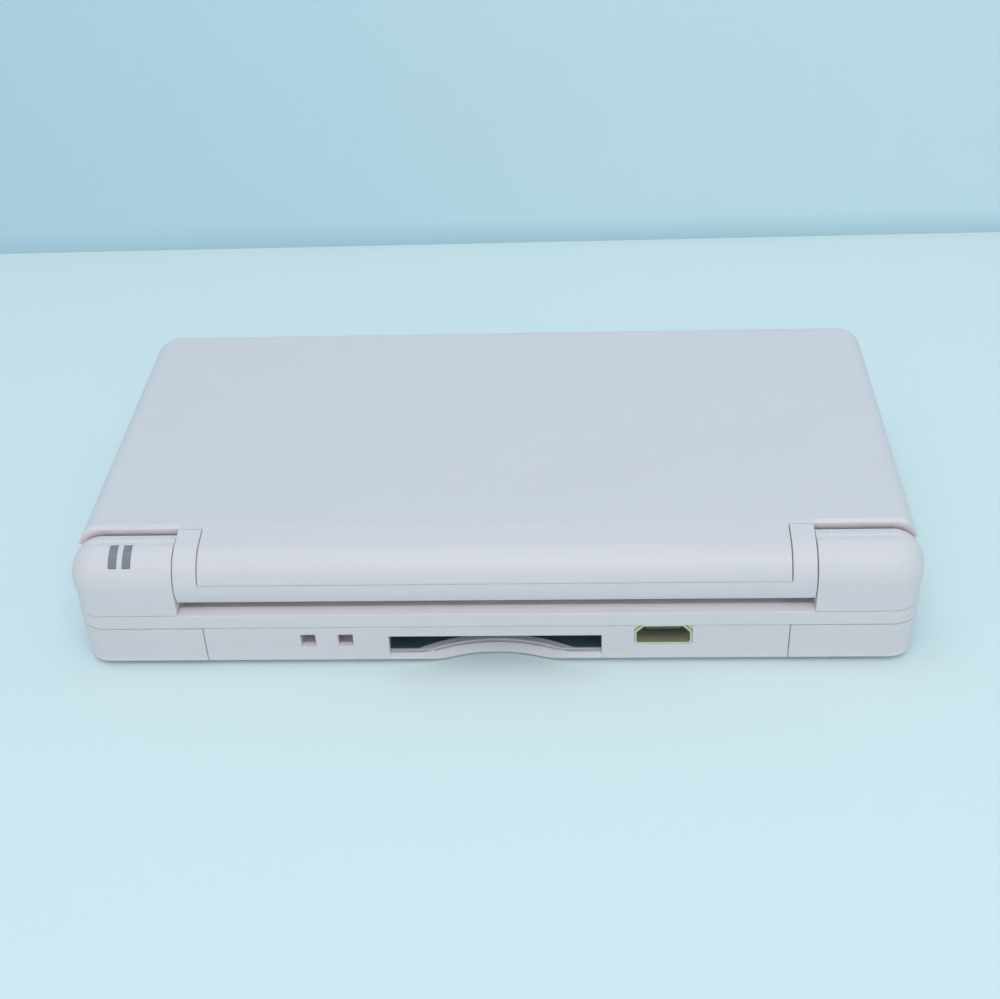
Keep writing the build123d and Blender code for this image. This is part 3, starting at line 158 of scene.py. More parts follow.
def layFloor(spec):
    # matt paper: no gloss, and the object's soft shadow lies on it
    bpy.ops.object.select_all(action="DESELECT")
    bpy.ops.mesh.primitive_plane_add(size=spec["floorSize"], location=(0, 0, 0))
    sheet = bpy.context.object
    sheet.name = "floor"
    paper, _ = startMaterial("matt paper sweep", spec["floorColour"], spec["roughness"])
    sheet.data.materials.append(paper)
    return sheet


def clearBehind(paper, shader):
    # one side only, so that the paper never hides the object from behind
    side = addNode(paper, "ShaderNodeNewGeometry").outputs["Backfacing"]
    clear = addNode(paper, "ShaderNodeBsdfTransparent")
    both = addNode(paper, "ShaderNodeMixShader", Fac=side, in1=shader.outputs[0], in2=clear.outputs[0])
    paper.node_tree.links.new(both.outputs[0], paper.node_tree.nodes["Material Output"].inputs["Surface"])


def standBackdrop(spec):
    # the same paper standing up, with shade painted into its colour: darker to one side and in the crease at
    # its foot
    bpy.ops.object.select_all(action="DESELECT")
    bpy.ops.mesh.primitive_plane_add(size=spec["wallSize"], location=(0, 0, 0))
    sheet = bpy.context.object
    sheet.name = "backdrop"
    sheet.rotation_euler = (-math.pi / 2, 0, math.radians(spec["wallTurn"]))
    sheet.location = (0, spec["wallPlace"], spec["wallSize"] / 2)
    paper, shader = startMaterial("matt paper backdrop", spec["wallColour"], spec["roughness"])
    clearBehind(paper, shader)
    place = addNode(paper, "ShaderNodeNewGeometry").outputs["Position"]
    spot = addNode(paper, "ShaderNodeSeparateXYZ", Vector=place)
    # painted shade: the wall turns darker towards one side
    sideways = addNode(
        paper, "ShaderNodeMapRange",
        Value=spot.outputs["X"], From_Min=spec["wallFade"][0], From_Max=spec["wallFade"][1],
    )
    wallTone = addNode(
        paper, "ShaderNodeMix", {"data_type": "RGBA"},
        Factor=sideways.outputs[0], in6=linear(spec["wallColour"]), in7=linear(spec["wallShadeColour"]),
    )
    # painted shade: the wall turns darker down into the crease at its foot
    crease = addNode(paper, "ShaderNodeMapRange", Value=spot.outputs["Z"], From_Max=spec["creaseHeight"])
    tone = addNode(
        paper, "ShaderNodeMix", {"data_type": "RGBA"},
        Factor=crease.outputs[0], in6=linear(spec["creaseShadeColour"]), in7=wallTone.outputs[2],
    )
    feed(paper, shader, Base_Color=tone.outputs[2])
    sheet.data.materials.append(paper)
    return sheet


floor = layFloor(sweep)
wall = standBackdrop(sweep)

room = {"light": "#ffffff", "strength": 0.6, "seen": "#bccfd6"}


def fillRoom(spec):
    # even white light, while the eye, a reflection and a clear part see pale blue past the floor's end
    world = bpy.data.worlds.new("soft room")
    world.use_nodes = True
    light = world.node_tree.nodes["Background"]
    light.inputs["Color"].default_value = linear(spec["light"])
    light.inputs["Strength"].default_value = spec["strength"]
    seen = addNode(world, "ShaderNodeBackground", Color=linear(spec["seen"]))
    ray = addNode(world, "ShaderNodeLightPath")
    looked = ray.outputs["Is Camera Ray"]
    for kind in ("Is Glossy Ray", "Is Transmission Ray"):
        looked = addNode(
            world, "ShaderNodeMath", {"operation": "MAXIMUM"}, in0=looked, in1=ray.outputs[kind]
        ).outputs[0]
    both = addNode(world, "ShaderNodeMixShader", Fac=looked, in1=light.outputs[0], in2=seen.outputs[0])
    world.node_tree.links.new(both.outputs[0], world.node_tree.nodes["World Output"].inputs["Surface"])
    bpy.context.scene.world = world


fillRoom(room)

# soft square lamps that all look at the origin; places and sizes in metres
lamps = {
    "key": {"place": (-0.05, 0.43, 0.57), "size": 0.42, "watts": 1.47, "colour": "#f1fbff"},
    "top": {"place": (0.12, -0.16, 0.7), "size": 0.6, "watts": 1.52, "colour": "#fdfdff"},
    "low": {"place": (-0.02, 0.6, 0.16), "size": 0.3, "watts": 0.12, "colour": "#f4fbff"},
}


def hangLamp(name, spec):
    lamp = bpy.data.lights.new(name, "AREA")
    lamp.size = spec["size"]
    lamp.energy = spec["watts"]
    lamp.color = linear(spec["colour"])[:3]
    holder = bpy.data.objects.new(name, lamp)
    holder.location = spec["place"]
    holder.rotation_euler = (-Vector(spec["place"])).to_track_quat("-Z", "Y").to_euler()
    bpy.context.scene.collection.objects.link(holder)


for lampName, lampSpec in lamps.items():
    hangLamp(lampName, lampSpec)
bpy.context.scene.view_settings.view_transform = "Standard"
print("stage and lights set")

plastic = {
    "outer": {"colour": "#d8d5da", "roughness": 0.4, "grainMm": 0.45, "grainDepth": 0.05},
    "inner": {"colour": "#d9d6db", "roughness": 0.48, "grainMm": 0.35, "grainDepth": 0.07},
    "key": {"colour": "#dcd9de", "roughness": 0.33, "grainMm": 0.6, "grainDepth": 0.03},
}
resin = {
    "paintedBounceColour": "#f8f1f4",  # painted bounce light: the lighter, pinker tone down in gaps
    "gapReach": 4.0 * mm,  # how near the other side of a gap has to be
    "openFrom": 0.15,  # share of free directions at which a place stops counting as a gap's depth
    "openTo": 0.85,  # and at which it counts as open
    "softShare": 0.5,
    "softDepth": 0.9 * mm,  # how deep light wanders in the plastic
    "flowMm": 22,
    "flowGain": 1.035,
    "smearMm": 9,
    "edge": 0.14 * mm,
}


def mouldedAbs(name, finish, spec):
    # Satin pale pink ABS from a fine spark-eroded mould. It gives the eye a broad soft sheen and hardly any
    # grain. Down in the gaps a lighter, pinker tone is painted into the colour, standing in for light bounced
    # between pink walls.
    material, shader = startMaterial(name, finish["colour"], finish["roughness"], ior=1.53)
    shader.inputs["Subsurface Weight"].default_value = spec["softShare"]
    shader.inputs["Subsurface Radius"].default_value = (1.0, 0.88, 0.94)
    shader.inputs["Subsurface Scale"].default_value = spec["softDepth"]
    place = addNode(material, "ShaderNodeTexCoord").outputs["Object"]
    flow = addNode(material, "ShaderNodeTexNoise", Vector=place, Scale=perMetre(spec["flowMm"]), Detail=2.0)
    skin = addNode(
        material, "ShaderNodeMix", {"data_type": "RGBA"}, Factor=flow.outputs["Fac"],
        in6=linear(finish["colour"]), in7=toned(finish["colour"], spec["flowGain"]),
    )
    # painted bounce light: where near walls close a place in, its colour turns to the lighter, pinker tone
    gap = addNode(material, "ShaderNodeAmbientOcclusion", {"samples": 6}, Distance=spec["gapReach"])
    openness = addNode(
        material, "ShaderNodeMapRange",
        Value=gap.outputs["AO"], From_Min=spec["openFrom"], From_Max=spec["openTo"],
    )
    body = addNode(
        material, "ShaderNodeMix", {"data_type": "RGBA"},
        Factor=openness.outputs[0], in6=linear(spec["paintedBounceColour"]), in7=skin.outputs[2],
    )
    grain = addNode(
        material, "ShaderNodeTexNoise", Vector=place, Scale=perMetre(finish["grainMm"]), Detail=2.0
    )
    soft = addNode(material, "ShaderNodeBevel", {"samples": 4}, Radius=spec["edge"])
    bump = addNode(
        material, "ShaderNodeBump", Strength=finish["grainDepth"], Distance=0.05 * mm,
        Height=grain.outputs["Fac"], Normal=soft.outputs[0],
    )
    smear = addNode(
        material, "ShaderNodeTexNoise", Vector=place, Scale=perMetre(spec["smearMm"]), Detail=3.0
    )
    gloss = addNode(
        material, "ShaderNodeMapRange", Value=smear.outputs["Fac"],
        To_Min=finish["roughness"] - 0.05, To_Max=finish["roughness"] + 0.06,
    )
    feed(material, shader, Base_Color=body.outputs[2], Roughness=gloss.outputs[0], Normal=bump.outputs[0])
    return material


def grainyPlastic(name, colour, cloudColour, roughness, grainMm, depth, ior, edge=0.08 * mm, cloudMm=3.5):
    # a moulded plastic or rubber: two near tones in soft clouds, and a fine grain from the mould
    material, shader = startMaterial(name, colour, roughness, ior)
    place = addNode(material, "ShaderNodeTexCoord").outputs["Object"]
    cloud = addNode(material, "ShaderNodeTexNoise", Vector=place, Scale=perMetre(cloudMm), Detail=3.0)
    tone = addNode(
        material, "ShaderNodeMix", {"data_type": "RGBA"},
        Factor=cloud.outputs["Fac"], in6=linear(colour), in7=linear(cloudColour),
    )
    grain = addNode(material, "ShaderNodeTexNoise", Vector=place, Scale=perMetre(grainMm), Detail=2.0)
    soft = addNode(material, "ShaderNodeBevel", {"samples": 4}, Radius=edge)
    bump = addNode(
        material, "ShaderNodeBump", Strength=depth, Distance=0.05 * mm,
        Height=grain.outputs["Fac"], Normal=soft.outputs[0],
    )
    gloss = addNode(
        material, "ShaderNodeMapRange", Value=cloud.outputs["Fac"],
        To_Min=roughness - 0.06, To_Max=roughness + 0.06,
    )
    feed(material, shader, Base_Color=tone.outputs[2], Roughness=gloss.outputs[0], Normal=bump.outputs[0])
    return material


def rolledMetal(name, colour, tarnish, roughness, drawMm=(0.15, 4.0, 0.15), patchMm=2.2):
    # sheet or drawn metal: fine lines along the way it was rolled, and patches of dull tarnish
    material, shader = startMaterial(name, colour, roughness, metallic=1.0)
    place = addNode(material, "ShaderNodeTexCoord").outputs["Object"]
    drawn = addNode(
        material, "ShaderNodeMapping", Vector=place, Scale=[perMetre(size) for size in drawMm],
    )
    lines = addNode(material, "ShaderNodeTexNoise", Vector=drawn.outputs[0], Scale=1.0, Detail=2.0)
    patches = addNode(material, "ShaderNodeTexNoise", Vector=place, Scale=perMetre(patchMm), Detail=4.0)
    tone = addNode(
        material, "ShaderNodeMix", {"data_type": "RGBA"},
        Factor=patches.outputs["Fac"], in6=linear(colour), in7=linear(tarnish),
    )
    gloss = addNode(
        material, "ShaderNodeMapRange", Value=lines.outputs["Fac"],
        To_Min=roughness - 0.08, To_Max=roughness + 0.1,
    )
    soft = addNode(material, "ShaderNodeBevel", {"samples": 4}, Radius=0.05 * mm)
    bump = addNode(
        material, "ShaderNodeBump", Strength=0.12, Distance=0.02 * mm,
        Height=lines.outputs["Fac"], Normal=soft.outputs[0],
    )
    feed(material, shader, Base_Color=tone.outputs[2], Roughness=gloss.outputs[0], Normal=bump.outputs[0])
    return material


# places with the lid closed; half is half the width and half the depth of the picture
screens = {
    "upper": {
        "centre": (0, -6.0 * mm), "half": (31.0 * mm, 23.3 * mm), "print": "#0c0d0f", "cell": "#262b2d",
        "roughness": 0.12, "coat": 1.0,
    },
    "lower": {
        "centre": (0, -4.5 * mm), "half": (31.2 * mm, 23.5 * mm), "print": "#17191b", "cell": "#2c3231",
        "roughness": 0.22, "coat": 0.6,
    },
}
pixelRows = {"pitchMm": 0.25, "gain": 0.93}


def screenFront(name, spec, rowSpec):
    # Clear hard-coated acrylic or film over a screen that is off. The eye sees a dark pane with the grey
    # green of the cell in its middle, a black printed border, and a clean reflection. The pixel rows are
    # 0.25 mm apart and show only close up.
    material, shader = startMaterial(name, spec["cell"], spec["roughness"], ior=1.49)
    shader.inputs["Coat Weight"].default_value = spec["coat"]
    shader.inputs["Coat Roughness"].default_value = 0.03
    place = addNode(material, "ShaderNodeTexCoord").outputs["Object"]
    spot = addNode(material, "ShaderNodeSeparateXYZ", Vector=place)
    inside = None
    for axis, centre, half in zip("XY", spec["centre"], spec["half"]):
        away = addNode(
            material, "ShaderNodeMath", {"operation": "SUBTRACT"}, in0=spot.outputs[axis], in1=centre
        )
        reach = addNode(material, "ShaderNodeMath", {"operation": "ABSOLUTE"}, in0=away.outputs[0])
        within = addNode(
            material, "ShaderNodeMath", {"operation": "LESS_THAN"}, in0=reach.outputs[0], in1=half
        )
        inside = within if inside is None else addNode(
            material, "ShaderNodeMath", {"operation": "MULTIPLY"},
            in0=inside.outputs[0], in1=within.outputs[0],
        )
    rows = addNode(
        material, "ShaderNodeTexWave", {"bands_direction": "Y", "wave_profile": "SIN"},
        Vector=place, Scale=wavesPerMetre(rowSpec["pitchMm"]), Distortion=0.0,
    )
    cell = addNode(
        material, "ShaderNodeMix", {"data_type": "RGBA"}, Factor=rows.outputs["Fac"],
        in6=linear(spec["cell"]), in7=toned(spec["cell"], rowSpec["gain"]),
    )
    tone = addNode(
        material, "ShaderNodeMix", {"data_type": "RGBA"},
        Factor=inside.outputs[0], in6=linear(spec["print"]), in7=cell.outputs[2],
    )
    feed(material, shader, Base_Color=tone.outputs[2])
    return material


circuit = {
    "mask": "#1d5a38", "trace": "#2b7a4a", "traceMm": 2.4,
    "traceStep": 0.12, "traceFrom": 0.04, "traceTo": 0.06,  # shares of traceMm
    "pad": "#c9a24e", "padMm": 1.6, "padShare": 0.16, "padScatter": 0.75,
}


def solderMask(name, spec):
    # Glass-epoxy board under green solder mask. The copper traces show through as paler lines, and the bare
    # pads are gold. The traces are drawn about twice as coarse as real ones so that they show.
    material, shader = startMaterial(name, spec["mask"], 0.35, ior=1.5)
    place = addNode(material, "ShaderNodeTexCoord").outputs["Object"]
    cells = addNode(
        material, "ShaderNodeTexVoronoi", {"feature": "F1", "distance": "MANHATTAN"},
        Vector=place, Scale=perMetre(spec["traceMm"]),
    )
    edge = addNode(
        material, "ShaderNodeMath", {"operation": "PINGPONG"},
        in0=cells.outputs["Distance"], in1=spec["traceStep"],
    )
    line = addNode(
        material, "ShaderNodeMapRange",
        Value=edge.outputs[0], From_Min=spec["traceFrom"], From_Max=spec["traceTo"],
    )
    copper = addNode(
        material, "ShaderNodeMix", {"data_type": "RGBA"},
        Factor=line.outputs[0], in6=linear(spec["mask"]), in7=linear(spec["trace"]),
    )
    dots = addNode(
        material, "ShaderNodeTexVoronoi",
        Vector=place, Scale=perMetre(spec["padMm"]), Randomness=spec["padScatter"],
    )
    pad = addNode(
        material, "ShaderNodeMath", {"operation": "LESS_THAN"},
        in0=dots.outputs["Distance"], in1=spec["padShare"],
    )
    tone = addNode(
        material, "ShaderNodeMix", {"data_type": "RGBA"},
        Factor=pad.outputs[0], in6=copper.outputs[2], in7=linear(spec["pad"]),
    )
    bump = addNode(material, "ShaderNodeBump", Strength=0.4, Distance=0.03 * mm, Height=line.outputs[0])
    feed(material, shader, Base_Color=tone.outputs[2], Metallic=pad.outputs[0], Normal=bump.outputs[0])
    return material


ribbon = {"film": "#9a5a1c", "copper": "#c98345", "pitchMm": 0.5, "trackFrom": 0.4, "trackTo": 0.6}


def polyimideFilm(name, spec):
    # Amber polyimide film with copper tracks laminated inside: warm stripes along the ribbon
    material, shader = startMaterial(name, spec["film"], 0.3, ior=1.7)
    place = addNode(material, "ShaderNodeTexCoord").outputs["Object"]
    tracks = addNode(
        material, "ShaderNodeTexWave", {"bands_direction": "X", "wave_profile": "SIN"},
        Vector=place, Scale=wavesPerMetre(spec["pitchMm"]), Distortion=0.0,
    )
    stripe = addNode(
        material, "ShaderNodeMapRange",
        Value=tracks.outputs["Fac"], From_Min=spec["trackFrom"], From_Max=spec["trackTo"],
    )
    tone = addNode(
        material, "ShaderNodeMix", {"data_type": "RGBA"},
        Factor=stripe.outputs[0], in6=linear(spec["film"]), in7=linear(spec["copper"]),
    )
    bump = addNode(material, "ShaderNodeBump", Strength=0.3, Distance=0.02 * mm, Height=stripe.outputs[0])
    feed(material, shader, Base_Color=tone.outputs[2], Normal=bump.outputs[0])
    return material


pipes = {"colour": "#8a8f99", "core": "#7a7f8a", "roughness": 0.3, "clearness": 0.15, "hazeMm": 1.2}


def smokedPolycarbonate(name, spec):
    # Smoke-tinted polycarbonate, polished by its mould: a dark grey depth under a clear skin
    material, shader = startMaterial(name, spec["colour"], spec["roughness"], ior=1.585)
    shader.inputs["Transmission Weight"].default_value = spec["clearness"]
    place = addNode(material, "ShaderNodeTexCoord").outputs["Object"]
    haze = addNode(material, "ShaderNodeTexNoise", Vector=place, Scale=perMetre(spec["hazeMm"]), Detail=3.0)
    tone = addNode(
        material, "ShaderNodeMix", {"data_type": "RGBA"},
        Factor=haze.outputs["Fac"], in6=linear(spec["colour"]), in7=linear(spec["core"]),
    )
    soft = addNode(material, "ShaderNodeBevel", {"samples": 4}, Radius=0.08 * mm)
    feed(material, shader, Base_Color=tone.outputs[2], Normal=soft.outputs[0])
    return material


outerAbs = mouldedAbs("satin pale pink ABS, outer mouldings", plastic["outer"], resin)
innerAbs = mouldedAbs("satin pale pink ABS, inner mouldings", plastic["inner"], resin)
keyAbs = mouldedAbs("pale pink ABS, polished key caps", plastic["key"], resin)
# acetal is waxy, so its tone is soft and its sheen low
acetal = grainyPlastic(
    "natural white acetal, moulded", "#d8d9dc", "#cfd0d4",
    roughness=0.38, grainMm=0.5, depth=0.05, ior=1.48,
)
# glass-filled PBT shows a dull black with a faint fibre mottle
pbt = grainyPlastic(
    "black PBT, glass-filled and moulded", "#1c1e21", "#292b2f",
    roughness=0.5, grainMm=0.25, depth=0.15, ior=1.57,
)
# the port's tongue is moulded in a greyer grade
greyPbt = grainyPlastic(
    "grey PBT, glass-filled and moulded", "#454b52", "#50575e",
    roughness=0.5, grainMm=0.25, depth=0.15, ior=1.57,
)
# the rubber is matt and slightly dusty
rubber = grainyPlastic(
    "grey TPE rubber, moulded", "#8e9096", "#a3a4aa",
    roughness=0.8, grainMm=0.3, depth=0.3, ior=1.51, edge=0.15 * mm,
)
# silicone is milky, with a dull sheen
silicone = grainyPlastic(
    "milky silicone rubber, pressed", "#c9cfcf", "#dadfde",
    roughness=0.55, grainMm=0.6, depth=0.1, ior=1.41,
)
# the battery's sleeve has shrunk tight, with a soft gloss and faint puckers
sleeve = grainyPlastic(
    "grey PVC sleeve, heat-shrunk", "#5f636b", "#6a6e77",
    roughness=0.36, grainMm=1.6, depth=0.25, ior=1.53,
)
# an unlit display is nearly black under its smooth film
cellGlass = grainyPlastic(
    "dark polariser film, laminated", "#23282a", "#2a3032",
    roughness=0.25, grainMm=0.25, depth=0.02, ior=1.49,
)
# The metals differ in tone and gloss: bright nickel, duller bluish zinc, grey wire, a pale warm port
# shell, gold contacts and black screws.
nickel = rolledMetal("nickel-plated steel sheet, rolled", "#c6c9c8", "#a9adab", 0.34)
zinc = rolledMetal("zinc-plated steel sheet, pressed", "#bccbd0", "#a0afb4", 0.5)
wire = rolledMetal("music wire, drawn", "#9a9da1", "#7e8186", 0.35)
portSilver = rolledMetal(
    "nickel silver port shell, drawn", "#eee9d2", "#d9d3b8", 0.6, drawMm=(4.0, 0.15, 4.0)
)
gold = rolledMetal("gold-flashed bronze contacts, stamped", "#d8b768", "#bd9a4e", 0.3)
blackScrew = rolledMetal(
    "black zinc screw, cold headed", "#4a4b50", "#36373b", 0.42, drawMm=(0.4, 0.4, 0.4)
)
mask = solderMask("green solder mask on glass epoxy", circuit)
film = polyimideFilm("polyimide film with copper tracks", ribbon)
smoke = smokedPolycarbonate("smoked polycarbonate, polished mould", pipes)
upperGlass = screenFront("hard-coated acrylic window", screens["upper"], pixelRows)
lowerGlass = screenFront("touch film, hard-coated", screens["lower"], pixelRows)

# the finish of each material slot, and the nodes that differ from their slot
finishes = {
    "shell": outerAbs, "inner_shell": innerAbs, "buttons": keyAbs, "grey_plastic": acetal,
    "dark_plastic": pbt, "smoke_plastic": smoke, "rubber": rubber, "silicone": silicone, "steel": nickel,
    "spring_steel": wire, "brass": gold, "screw_steel": blackScrew, "board": mask, "screen_glass": lowerGlass,
    "display": cellGlass, "battery_wrap": sleeve, "copper_film": film,
}
special = {
    "card_cage": zinc, "charge_port_shell": portSilver, "upper_window": upperGlass, "card_tray": innerAbs,
    "charge_port_tongue": greyPbt,
}


def giveFinishes():
    for part in frame["record"]["subparts"]:
        finish = special.get(part["node"], finishes[part["material_slot"]])
        for holder in nodes[part["node"]].material_slots:
            holder.material = finish


giveFinishes()
print("materials given")


# what follows models pieces with more form than the CAD nodes that they stand for
def selectOnly(pieces):
    # in object mode: selects just these pieces, and the first is the active one
    bpy.ops.object.select_all(action="DESELECT")
    for piece in pieces:
        piece.select_set(True)
    bpy.context.view_layer.objects.active = pieces[0]


def startPiece(name, addPrimitive, **sizes):
    # a new primitive in edit mode, with none of its faces selected
    bpy.ops.object.select_all(action="DESELECT")
    addPrimitive(**sizes)
    piece = bpy.context.object
    piece.name = name
    bpy.ops.object.mode_set(mode="EDIT")
    bpy.ops.mesh.select_mode(type="FACE")
    bpy.ops.mesh.select_all(action="DESELECT")
    return piece


def pickFacing(piece, way):
    # in edit mode: selects just the faces that look up, for 1, or down, for -1
    mesh = bmesh.from_edit_mesh(piece.data)
    for face in mesh.faces:
        face.select = face.normal.z * way > 0.9
    mesh.select_flush_mode()
    bmesh.update_edit_mesh(piece.data)


def pickEdges(piece, test):
    # in edit mode: selects just the edges whose two ends both pass a test of their place
    mesh = bmesh.from_edit_mesh(piece.data)
    bpy.ops.mesh.select_mode(type="EDGE")
    for edge in mesh.edges:
        edge.select = all(test(end.co) for end in edge.verts)
    bmesh.update_edit_mesh(piece.data)


def grow(upBy, scale):
    # draws the selected face out along Z and makes its ring wider or narrower
    bpy.ops.mesh.extrude_region_move(TRANSFORM_OT_translate={"value": (0, 0, upBy)})
    bpy.ops.transform.resize(value=(scale, scale, 1))


def combine(piece, tool, how):
    # cuts the tool out of the piece, or joins it on, and takes the tool away
    step = piece.modifiers.new(how, "BOOLEAN")
    step.operation = how
    step.object = tool
    step.solver = "EXACT"
    selectOnly([piece])
    bpy.ops.object.modifier_apply(modifier=step.name)
    bpy.data.objects.remove(tool)


def copiesAt(piece, places):
    # the piece once for each place, each with its own mesh, joined into one object at the origin
    copies = []
    for place in places:
        copy = piece.copy()
        copy.data = piece.data.copy()
        copy.location = place
        bpy.context.scene.collection.objects.link(copy)
        copies.append(copy)
    bpy.data.objects.remove(piece)
    selectOnly(copies)
    bpy.ops.object.transform_apply(location=True, rotation=True, scale=True)
    if len(copies) > 1:
        bpy.ops.object.join()
    return bpy.context.object


def settle(piece, name, material, body):
    # finishes a piece: its place in its mesh, smooth but for edges past 35 degrees, on its moving body
    selectOnly([piece])
    bpy.ops.object.transform_apply(location=True, rotation=True, scale=True)
    bpy.ops.object.shade_smooth_by_angle(angle=math.radians(35))
    piece.name = name
    piece.data.materials.clear()
    piece.data.materials.append(material)
    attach(piece, body)


screws = {
    "sides": 28,
    "rim": 0.22 * mm,
    "rimSteps": 3,
    "arm": 0.42 * mm,  # width of the cross recess
    "armLength": 0.62,  # share of the head's width
    "armTaper": (0.6, 0.8, 1),  # length and width at the recess's floor
    "recess": 0.55,  # share of the head's height
    "pitch": 0.8 * mm,
    "slope": 0.3,  # share of the pitch on each side of a thread, and then on its crest or in its root
    "flat": 0.2,
    "thread": 1.18,  # its crest over its root
    "tip": 0.35,
    "shankRadius": 0.85 * mm,
    "headHeight": 1.0 * mm,
    "coverHeadHeight": 0.55 * mm,
    "secondRow": 2.3 * mm,  # how far the outer rear screws stand in front of the inner ones
    "rearInset": 24.0 * mm,  # and how far in from them the inner ones stand
}


def modelScrew(name, headRadius, headHeight, length, spec):
    # a pan-head self-tapping screw, head down: rounded rim, cross recess, thread and a blunt tip
    piece = startPiece(
        name, bpy.ops.mesh.primitive_cylinder_add,
        vertices=spec["sides"], radius=headRadius, depth=headHeight, location=(0, 0, headHeight / 2),
    )
    pickFacing(piece, -1)
    bpy.ops.mesh.bevel(offset=spec["rim"], segments=spec["rimSteps"], affect="EDGES")
    pickFacing(piece, 1)
    bpy.ops.mesh.inset(thickness=headRadius - spec["shankRadius"] / spec["thread"])
    turns = max(1, round((length - headHeight) / spec["pitch"]) - 1)
    for _ in range(turns):
        grow(spec["pitch"] * spec["slope"], spec["thread"])
        grow(spec["pitch"] * spec["flat"], 1)
        grow(spec["pitch"] * spec["slope"], 1 / spec["thread"])
        grow(spec["pitch"] * spec["flat"], 1)
    grow(length - headHeight - turns * spec["pitch"], spec["tip"])
    bpy.ops.object.mode_set(mode="OBJECT")
    for turn in (0, 90):
        arm = startPiece(name + "Arm", bpy.ops.mesh.primitive_cube_add, size=1)
        bpy.ops.mesh.select_all(action="SELECT")
        bpy.ops.transform.resize(
            value=(2 * spec["armLength"] * headRadius, spec["arm"], 2 * spec["recess"] * headHeight)
        )
        pickFacing(arm, 1)
        bpy.ops.transform.resize(value=spec["armTaper"])
        bpy.ops.object.mode_set(mode="OBJECT")
        arm.rotation_euler.z = math.radians(turn)
        combine(piece, arm, "DIFFERENCE")
    return piece


def makeScrews(spec):
    low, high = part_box("case_screws")
    coverLow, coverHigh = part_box("battery_cover_screw")
    headRadius = (coverHigh[0] - coverLow[0]) / 2
    outerX = high[0] - headRadius
    frontY = low[1] + headRadius
    rearY = high[1] - headRadius
    innerX = outerX - spec["rearInset"]
    places = [
        (sign * x, y, low[2])
        for x, y in ((outerX, frontY), (outerX, rearY - spec["secondRow"]), (innerX, rearY))
        for sign in (1, -1)
    ]
    longScrew = modelScrew("caseScrew", headRadius, spec["headHeight"], high[2] - low[2], spec)
    caseScrews = copiesAt(longScrew, places)
    settle(caseScrews, "caseScrews", blackScrew, "base")
    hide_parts("case_screws")
    coverLength = coverHigh[2] - coverLow[2]
    shortScrew = modelScrew("coverScrew", headRadius, spec["coverHeadHeight"], coverLength, spec)
    middleX, middleY = ((coverLow[i] + coverHigh[i]) / 2 for i in (0, 1))
    coverScrew = copiesAt(shortScrew, [(middleX, middleY, coverLow[2])])
    settle(coverScrew, "batteryCoverScrew", blackScrew, "base")
    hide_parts("battery_cover_screw")


makeScrews(screws)
print("screws modelled")

gauze = {
    "colour": "#232427", "gapColour": "#1b1c1e", "threadColour": "#3c3e42", "threadMm": 0.32,
    "margin": 0.2 * mm, "corner": 3.0 * mm, "cornerSteps": 5, "border": 1.2 * mm, "thickness": 0.036 * mm,
}


def wovenGauze(name, spec):
    # Black polyester gauze, plain weave: dull, with a fine grid. Its threads are drawn at 0.32 mm, about
    # three times the real pitch, so that they show in the sound holes.
    material, shader = startMaterial(name, spec["colour"], 0.8, ior=1.55)
    place = addNode(material, "ShaderNodeTexCoord").outputs["Object"]
    across, along = (
        addNode(
            material, "ShaderNodeTexWave", {"bands_direction": axis, "wave_profile": "SIN"},
            Vector=place, Scale=wavesPerMetre(spec["threadMm"]), Distortion=0.0,
        )
        for axis in "XY"
    )
    weave = addNode(
        material, "ShaderNodeMath", {"operation": "MULTIPLY"},
        in0=across.outputs["Fac"], in1=along.outputs["Fac"],
    )
    tone = addNode(
        material, "ShaderNodeMix", {"data_type": "RGBA"},
        Factor=weave.outputs[0], in6=linear(spec["gapColour"]), in7=linear(spec["threadColour"]),
    )
    bump = addNode(material, "ShaderNodeBump", Strength=0.6, Distance=0.03 * mm, Height=weave.outputs[0])
    feed(material, shader, Base_Color=tone.outputs[2], Normal=bump.outputs[0])
    return material


def makeGauze(spec):
    # a thin sheet with rounded corners lies on each speaker, behind the lid's sound holes
    cloth = wovenGauze("black polyester gauze, woven", spec)
    for speaker in ("speaker_right", "speaker_left"):
        low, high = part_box(speaker)
        middleX, middleY = ((low[i] + high[i]) / 2 for i in (0, 1))
        piece = startPiece(
            speaker + "Gauze", bpy.ops.mesh.primitive_plane_add,
            size=1, location=(middleX, middleY, low[2]),
        )
        bpy.ops.mesh.select_all(action="SELECT")
        bpy.ops.transform.resize(
            value=(high[0] - low[0] + 2 * spec["margin"], high[1] - low[1] + 2 * spec["margin"], 1)
        )
        bpy.ops.mesh.select_mode(type="VERT")
        bpy.ops.mesh.select_all(action="SELECT")
        bpy.ops.mesh.bevel(offset=spec["corner"], segments=spec["cornerSteps"], affect="VERTICES")
        bpy.ops.mesh.select_mode(type="FACE")
        bpy.ops.mesh.select_all(action="SELECT")
        bpy.ops.mesh.inset(thickness=spec["border"])
        bpy.ops.mesh.select_all(action="SELECT")
        bpy.ops.mesh.extrude_region_move(TRANSFORM_OT_translate={"value": (0, 0, -spec["thickness"])})
        bpy.ops.mesh.select_all(action="SELECT")
        bpy.ops.mesh.normals_make_consistent(inside=False)
        bpy.ops.object.mode_set(mode="OBJECT")
        settle(piece, speaker + "Gauze", cloth, "lid")


makeGauze(gauze)
print("speaker gauze modelled")

pins = {
    "count": 6, "pitch": 0.75 * mm, "width": 0.4 * mm, "length": 3.4 * mm, "thickness": 0.08 * mm,
    "setback": 0.25 * mm, "rounding": 0.8, "roundingSteps": 3,  # rounding is a share of the thickness
}


